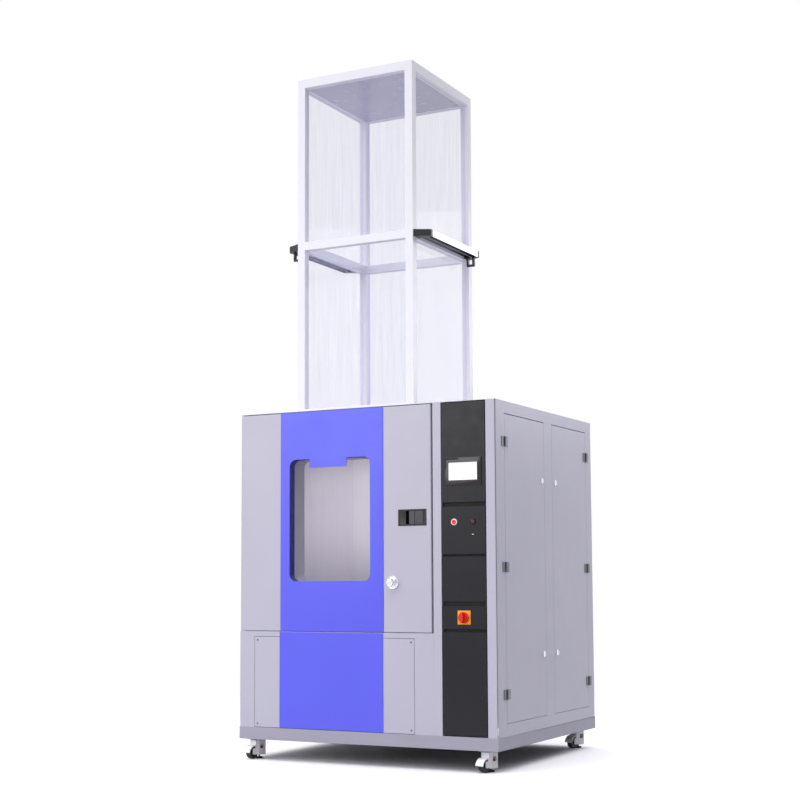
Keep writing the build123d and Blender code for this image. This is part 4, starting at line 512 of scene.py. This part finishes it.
# %% [markdown]
# ## Push buttons and the data port
# The start button is a bright cap in a white ring, and the alarm is a dark lens in a dark
# ring. Both are turned shapes. The cap is slightly dished for a finger, and the lens is
# domed. Each plunger rides on its own body, so it moves in its ring.

# %% Push buttons and the data port
RING_R, RING_PROUD, CAP_R = 17.0, 5.0, 11.0
RING_BARREL_R, RING_DEPTH, DOME_RISE = 13.5, 30.0, 5.5
BACK = np.array([0, 1, 0])
start_low, start_high = span("button_start")
alarm_low, alarm_high = span("button_alarm")
start_centre = ((start_low + start_high) / 2) * (1, 0, 1)
alarm_centre = ((alarm_low + alarm_high) / 2) * (1, 0, 1)
ring = [(CAP_R + 0.3, RING_DEPTH), (CAP_R + 0.3, 1.4 - RING_PROUD), (CAP_R + 1.3, -RING_PROUD),
        (RING_R - 2.6, -RING_PROUD), (RING_R - 0.9, 0.8 - RING_PROUD), (RING_R, 2.4 - RING_PROUD),
        (RING_R, 0), (RING_BARREL_R, 0), (RING_BARREL_R, RING_DEPTH)]
front, back = start_low[1], start_high[1]
piece("start_ring", "cabinet", [(turned(start_centre, BACK, ring, closed=True), white_plastic)],
      "control_fittings")
piece("alarm_ring", "cabinet", [(turned(alarm_centre, BACK, ring, closed=True), nickel)])
dished = [(0, front + 1.0), (5, front + 0.7), (8.5, front), (CAP_R - 0.6, front + 0.4),
          (CAP_R, front + 1.4), (CAP_R, back), (0, back)]
piece("start_cap", "start_button", [(turned(start_centre, BACK, dished), bright_red)], "button_start")
rise = np.linspace(0, math.pi / 2, 9)
dome = np.stack([CAP_R * np.sin(rise), front + DOME_RISE * (1 - np.cos(rise))], axis=-1)
domed = [*dome, (CAP_R, back), (0, back)]
piece("alarm_lens", "alarm_button", [(turned(alarm_centre, BACK, domed), dark_red)], "button_alarm")


FRAME_STEPS = 64


def framed(centre, width, height, radius, profile):
    """A profile carried around a rounded rectangle that faces the front. The profile lists the
    distance outwards from the rectangle and the depth to the back. Each quarter of the turn is
    a corner's arc about its own centre, and the straight sides are the steps between arcs."""
    profile = np.array(profile, dtype=float)
    looped = np.concatenate([profile, profile[:1]])

    def formula(u, v):
        """The corner's centre plus the turning direction times the radius and the distance."""
        turn = 2 * np.pi * (u + 0.5 / FRAME_STEPS)
        where = np.round(v * len(profile)).astype(int)
        off, depth = looped[where, 0], looped[where, 1]
        corner_x = (width / 2 - radius) * np.sign(np.cos(turn))
        corner_z = (height / 2 - radius) * np.sign(np.sin(turn))
        return (centre[0] + corner_x + (radius + off) * np.cos(turn), centre[1] + depth,
                centre[2] + corner_z + (radius + off) * np.sin(turn))

    return surface(FRAME_STEPS, len(profile), formula, loop_rows=True, loop_columns=True)


PORT_DROP, PORT_W, PORT_H = 63, 28, 12
port = [alarm_centre[0], 0, start_centre[2] - PORT_DROP]
collar = [(-4, 0), (-4, -0.6), (-3, -1.4), (-1, -1.4), (0, -0.4), (0, 0)]
tongue = [(0, 9), (0, -0.8), (-1.7, -0.8), (-1.7, 9)]
piece("data_port", "cabinet", [(framed(port, PORT_W, PORT_H, 3, collar), nickel),
                               (framed(port, 12, 3.6, 1, tongue), white_plastic)])

# %% [markdown]
# ## Isolator dial
# The isolator is a red dial with a fluted rim and a raised grip across it. The dial is turned,
# with 24 flutes for the fingers. The grip is a long rounded bar: each of its levels is the
# same oval, narrower near the top, so it feels like a bar of soap.

# %% Isolator dial
dial_low, dial_high = span("isolator_knob")
dial_centre, _ = pivot("isolator_turn")
dial_centre = dial_centre * (1, 0, 1)
DIAL_R = (dial_high[0] - dial_low[0]) / 2
DIAL_T, GRIP_H, SHAFT_R = 9.0, 16.0, 6.0
grip_front = dial_low[1]
dial_front = grip_front + GRIP_H
dial_back = dial_front + DIAL_T


def grip(u, v):
    """A rounded bar: around it a squared oval, upwards straight, then closing at the top."""
    turn = 2 * np.pi * u
    climb, close = np.minimum(v * 1.4, 1.0), np.maximum(v * 1.4 - 1, 0) / 0.4
    size = (1 - 0.16 * climb ** 3) * (1 - close)
    x = 7.5 * np.sign(np.cos(turn)) * np.abs(np.cos(turn)) ** 0.55 * size
    z = (DIAL_R - 3.5) * np.sign(np.sin(turn)) * np.abs(np.sin(turn)) ** 0.7 * size
    return dial_centre[0] + x, dial_front + 1 + (grip_front - dial_front - 1) * climb, dial_centre[2] + z


rim = [(0, dial_back), (DIAL_R * 0.96, dial_back), (DIAL_R * 0.96, dial_front + 3),
       (DIAL_R * 0.9, dial_front + 0.8), (DIAL_R * 0.84, dial_front), (DIAL_R * 0.7, dial_front + 1.0),
       (0, dial_front + 1.0)]
disc = turned(dial_centre, BACK, rim, around=144, ripple=0.035, waves=24, beyond=DIAL_R * 0.88)
shaft = turned(dial_centre, BACK, [(0, dial_back), (SHAFT_R, dial_back), (SHAFT_R, dial_high[1]),
                                   (0, dial_high[1])])
bar = surface(64, 20, grip, loop_rows=True)
piece("isolator_dial", "isolator", [(disc, red_plastic), (bar, red_plastic), (shaft, zinc)], "isolator_knob")

# %% [markdown]
# ## Door knob
# The door is pressed shut by a chrome hand knob with six shallow lobes on a dished rose. The
# knob is turned, and its radius swells six times around, but only where it is wide, so the
# neck stays round.

# %% Door knob
knob_low, knob_high = span("door_knob")
rose_low, rose_high = span("knob_rose")
knob_centre = ((rose_low + rose_high) / 2) * (1, 0, 1)
KNOB_R = min(knob_high[0] - knob_low[0], knob_high[2] - knob_low[2]) / 2 / 1.08
NECK_R = 12.0
tip = knob_low[1]
hand = [(0, tip), (9, tip + 0.2), (15, tip + 1.2), (19, tip + 3.2), (KNOB_R, tip + 8), (KNOB_R, tip + 15),
        (20, tip + 21), (15, tip + 23.4), (NECK_R, tip + 24.4), (NECK_R, knob_high[1]), (0, knob_high[1])]
hand_shape = turned(knob_centre, BACK, hand, around=96, ripple=0.075, waves=6, beyond=18.5)
piece("hand_knob", "knob", [(hand_shape, chrome)], "door_knob")
ROSE_R = (rose_high[0] - rose_low[0]) / 2
ROSE_T = -rose_low[1]
rose = [(NECK_R + 0.4, 0), (NECK_R + 0.4, 0.6 - ROSE_T), (13.4, -ROSE_T), (17, -ROSE_T), (20, 1.2 - ROSE_T),
        (27, 1.5 - ROSE_T), (31, 1.1 - ROSE_T), (33.4, 2.4 - ROSE_T), (ROSE_R, -1.4), (ROSE_R, 0)]
piece("knob_plate", "main_door", [(turned(knob_centre, BACK, rose, around=72, closed=True), chrome)],
      "knob_rose")

# %% [markdown]
# ## Casters
# Each caster has a nylon wheel with two grooves in its tread, and a levelling foot: a rubber
# pad, a screw stem and a thumbwheel that turns it. All are turned shapes. The stem's thread
# is drawn as rings 2.5 mm apart, which is coarser than a real thread, so that it shows.

# %% Caster sections
WHEEL_HALF, AXLE_BORE, HUB_R, GROOVE = 16.0, 4.1, 9, 1.6
PAD_R, PAD_T, STEM_R, THREAD_DEPTH, THREAD_STEP = 19.0, 9, 5.0, 0.7, 1.25
THUMB_R, THUMB_Z, THUMB_T = 21.0, 52.0, 12.0


def wheel_profile(radius, half):
    """The wheel's section, from the axle's bore along the hub, rim and tread to the other side."""
    groove = radius - GROOVE
    side = [(AXLE_BORE, half), (HUB_R, half), (HUB_R, half - 2.6), (radius * 0.6, half - 3),
            (radius * 0.64, half - 0.6), (radius - 3.5, half), (radius - 1.2, half - 1.0),
            (radius, half - 3.6), (radius, half * 0.42), (groove, half * 0.34), (groove, half * 0.22),
            (radius, half * 0.14)]
    return side + [(r, -a) for r, a in reversed(side)]


def foot_parts(x, y, low, high):
    """Pad, stem and thumbwheel of one foot, from the floor up, with the material of each."""
    up, where, tall = (0, 0, 1), (x, y, low), high - low
    pad = [(0, 0), (PAD_R - 1, 0), (PAD_R, 0.8), (PAD_R, 3), (PAD_R - 0.8, 3.8), (PAD_R, 4.6), (PAD_R, 7),
           (PAD_R - 2, PAD_T), (0, PAD_T)]
    rings = np.arange(PAD_T, tall, THREAD_STEP)
    crests = [(STEM_R - THREAD_DEPTH * (k % 2), z) for k, z in enumerate(rings)]
    thread = [(0, PAD_T), *crests, (0, tall)]
    base, top, bore, edge = THUMB_Z, THUMB_Z + THUMB_T, STEM_R - 0.5, THUMB_R - 0.4
    thumb = [(bore, base + 1), (12, base + 1), (14, base), (THUMB_R - 2, base), (edge, base + 1.4),
             (edge, top - 1.4), (THUMB_R - 2, top), (14, top), (12, top - 1), (bore, top - 1)]
    return [(turned(where, up, pad, around=40), rubber), (turned(where, up, thread, around=16), zinc),
            (turned(where, up, thumb, around=120, ripple=0.018, waves=30, beyond=THUMB_R - 1, closed=True),
             brick_red)]


# %% [markdown]
# A wheel turns about its own joint's axis, which is level and skewed as the caster stands, so
# the section is placed from the joint and not from a box. The foot stands on the swivel's axis.

# %% Casters
for spot in SPOTS:
    axle, roll_axis = pivot(f"wheel_{spot}_roll")
    swivel, _ = pivot(f"caster_{spot}_swivel")
    wheel_low, wheel_high = span(f"caster_wheel_{spot}")
    wheel_r = (wheel_high[2] - wheel_low[2]) / 2
    tread = turned(axle, roll_axis, wheel_profile(wheel_r, WHEEL_HALF), around=64, closed=True)
    piece(f"nylon_wheel_{spot}", f"wheel_{spot}", [(tread, nylon)], f"caster_wheel_{spot}")
    foot_low, foot_high = span(f"caster_foot_{spot}")
    foot = foot_parts(swivel[0], swivel[1], foot_low[2], foot_high[2])
    piece(f"levelling_foot_{spot}", f"foot_{spot}", foot, f"caster_foot_{spot}")

# %% [markdown]
# ## Floor
# The floor is a plain pale sheet. For the camera it brightens to white a few metres away, so
# that it meets the white air without a line, while the machine's soft shadow stays. Other
# light sees it a little darker, so that it doesn't light the machine from below.

# %% Floor
FLOOR_HALF_M = 40
FADE_FROM_MM, FADE_TO_MM = 1500, 4500


def pale_floor():
    """A square floor, 80 m across. Its look for the camera turns from paper to white light between
    1.5 and 4.5 m from the middle."""
    mesh = bpy.data.meshes.new("floor")
    far_m = FLOOR_HALF_M
    corners = [(-far_m, -far_m, 0), (far_m, -far_m, 0), (far_m, far_m, 0), (-far_m, far_m, 0)]
    mesh.from_pydata(corners, [], [(0, 1, 2, 3)])
    floor = bpy.data.objects.new("floor", mesh)
    scene.collection.objects.link(floor)
    material, tree, shader, mm = begin("pale_floor")
    path = add(tree, "LightPath")
    seen = add(tree, "Math", {"operation": "MAXIMUM"},
               {0: path.outputs["Is Camera Ray"], 1: path.outputs["Is Glossy Ray"]})
    colour = add(tree, "Mix", {"data_type": "RGBA", 6: linear("a0a0a4"), 7: linear("f7f7f9")},
                 {0: seen.outputs[0]})
    shader.inputs["Roughness"].default_value = 0.9
    shader.inputs["Specular IOR Level"].default_value = 0.0
    tree.links.new(colour.outputs[2], shader.inputs["Base Color"])
    away = add(tree, "VectorMath", {"operation": "LENGTH"}, {0: mm})
    far = add(tree, "MapRange", {"interpolation_type": "SMOOTHSTEP", "From Min": FADE_FROM_MM,
                                 "From Max": FADE_TO_MM}, {"Value": away.outputs["Value"]})
    white = add(tree, "Math", {"operation": "MULTIPLY"}, {0: far.outputs[0], 1: seen.outputs[0]})
    light = add(tree, "Emission", {"Color": linear("ffffff"), "Strength": 1.0})
    both = add(tree, "MixShader", {}, {0: white.outputs[0], 1: shader.outputs[0], 2: light.outputs[0]})
    tree.links.new(both.outputs[0], tree.nodes["Material Output"].inputs["Surface"])
    mesh.materials.append(material)


pale_floor()
print("floor turns white between", FADE_FROM_MM, "and", FADE_TO_MM, "mm")

# %% [markdown]
# ## Light
# The picture has the plain light of a studio. The air is white to the eye and in reflections.
# As light it is brighter from the front left than from the right and behind, which is what
# makes the right side darker than the front. Two wide soft boxes stand high, one in front on
# the left and one behind on the right, so that the upper front and the upper right side are a
# little lighter than their lower ends. A wide soft sun from above lights the floor and roof.

# %% Air
def studio_air():
    """White for camera, mirror and see-through rays. For other light, a gradient by direction."""
    world = bpy.data.worlds.new("studio")
    scene.world = world
    world.use_nodes = True
    tree = world.node_tree
    tree.nodes.clear()
    place = add(tree, "TexCoord")
    lean = add(tree, "VectorMath", {"operation": "DOT_PRODUCT", 1: (-0.75, -0.6, 0.3)},
               {0: place.outputs["Generated"]})
    strength = add(tree, "MapRange", {"From Min": -0.8, "From Max": 0.8, "To Min": 0.05, "To Max": 1.25},
                   {"Value": lean.outputs["Value"]})
    path = add(tree, "LightPath")
    mirror = add(tree, "Math", {"operation": "MAXIMUM"},
                 {0: path.outputs["Is Camera Ray"], 1: path.outputs["Is Glossy Ray"]})
    shown = add(tree, "Math", {"operation": "MAXIMUM"},
                {0: mirror.outputs[0], 1: path.outputs["Is Transmission Ray"]})
    lit = add(tree, "Background", {"Color": linear("f9f8ff")}, {"Strength": strength.outputs[0]})
    seen = add(tree, "Background", {"Color": linear("ffffff"), "Strength": 1.0})
    both = add(tree, "MixShader", {}, {0: shown.outputs[0], 1: lit.outputs[0], 2: seen.outputs[0]})
    add(tree, "OutputWorld", {}, {"Surface": both.outputs[0]})


studio_air()
print("air:", len(scene.world.node_tree.nodes), "nodes")


# %% Lamps
def soft_box(name, place, target, width, height, power, code="ffffff"):
    """A rectangular lamp, given in metres, aimed at a point and hidden from the camera."""
    data = bpy.data.lights.new(name, "AREA")
    data.shape = "RECTANGLE"
    data.size, data.size_y = width, height
    data.energy = power
    data.color = linear(code)[:3]
    lamp = bpy.data.objects.new(name, data)
    lamp.location = place
    lamp.rotation_euler = (Vector(target) - Vector(place)).to_track_quat("-Z", "Y").to_euler()
    lamp.visible_camera = False
    scene.collection.objects.link(lamp)


soft_box("front_box", (-3.2, -6.0, 3.1), (0, 0, 1.4), 3.6, 2.6, 80)
soft_box("side_box", (3.2, 4.6, 3.5), (0.78, 0, 2.0), 3.2, 1.8, 75, "f6f4ff")
sun = bpy.data.lights.new("overhead", "SUN")
sun.energy = 2.3
sun.angle = math.radians(80)
scene.collection.objects.link(bpy.data.objects.new("overhead", sun))
liner_low, liner_high = span("chamber_liner")
liner_x = (liner_low[0] + liner_high[0]) / 2
soft_box("chamber_lamp", at(liner_x, 450, 1300), at(liner_x, 1000, 1100), 0.8, 0.7, 3.2)
print("lamps:", len(bpy.data.lights))

# %% [markdown]
# ## Camera
# The camera was fitted to outline points of the photograph. It stands to the right of the
# front, just under the middle of the cabinet's height, and looks slightly up, so that the
# tall tower fits the frame.

# %% Camera
CAMERA_AT = (3008.2, -6758.5, 831.4)
TURN, TILT, ROLL = 0.4833, 0.0906, -0.0046
FOCAL_PIXELS, PICTURE_PIXELS = 1481.9, 800
SENSOR_MM, SHIFT_Y = 36, 0.06


def fitted_camera():
    """A camera from its place, turn, tilt and roll, with its lens from the focal length in
    pixels: focal length over picture width, times the sensor's 36 mm."""
    data = bpy.data.cameras.new("camera")
    data.sensor_width = SENSOR_MM
    data.lens = FOCAL_PIXELS * SENSOR_MM / PICTURE_PIXELS
    data.shift_y = SHIFT_Y
    camera = bpy.data.objects.new("camera", data)
    forward = Vector((-math.sin(TURN) * math.cos(TILT), math.cos(TURN) * math.cos(TILT), math.sin(TILT)))
    right = Vector((math.cos(TURN), math.sin(TURN), 0))
    up = right.cross(forward)
    rolled_right = math.cos(ROLL) * right + math.sin(ROLL) * up
    rolled_up = math.cos(ROLL) * up - math.sin(ROLL) * right
    camera.matrix_world = Matrix.Translation(at(*CAMERA_AT)) @ Matrix(
        (rolled_right, rolled_up, -forward)).transposed().to_4x4()
    scene.collection.objects.link(camera)
    scene.camera = camera
    print("lens", round(data.lens, 2), "mm")


fitted_camera()
scene.view_settings.view_transform = "Standard"
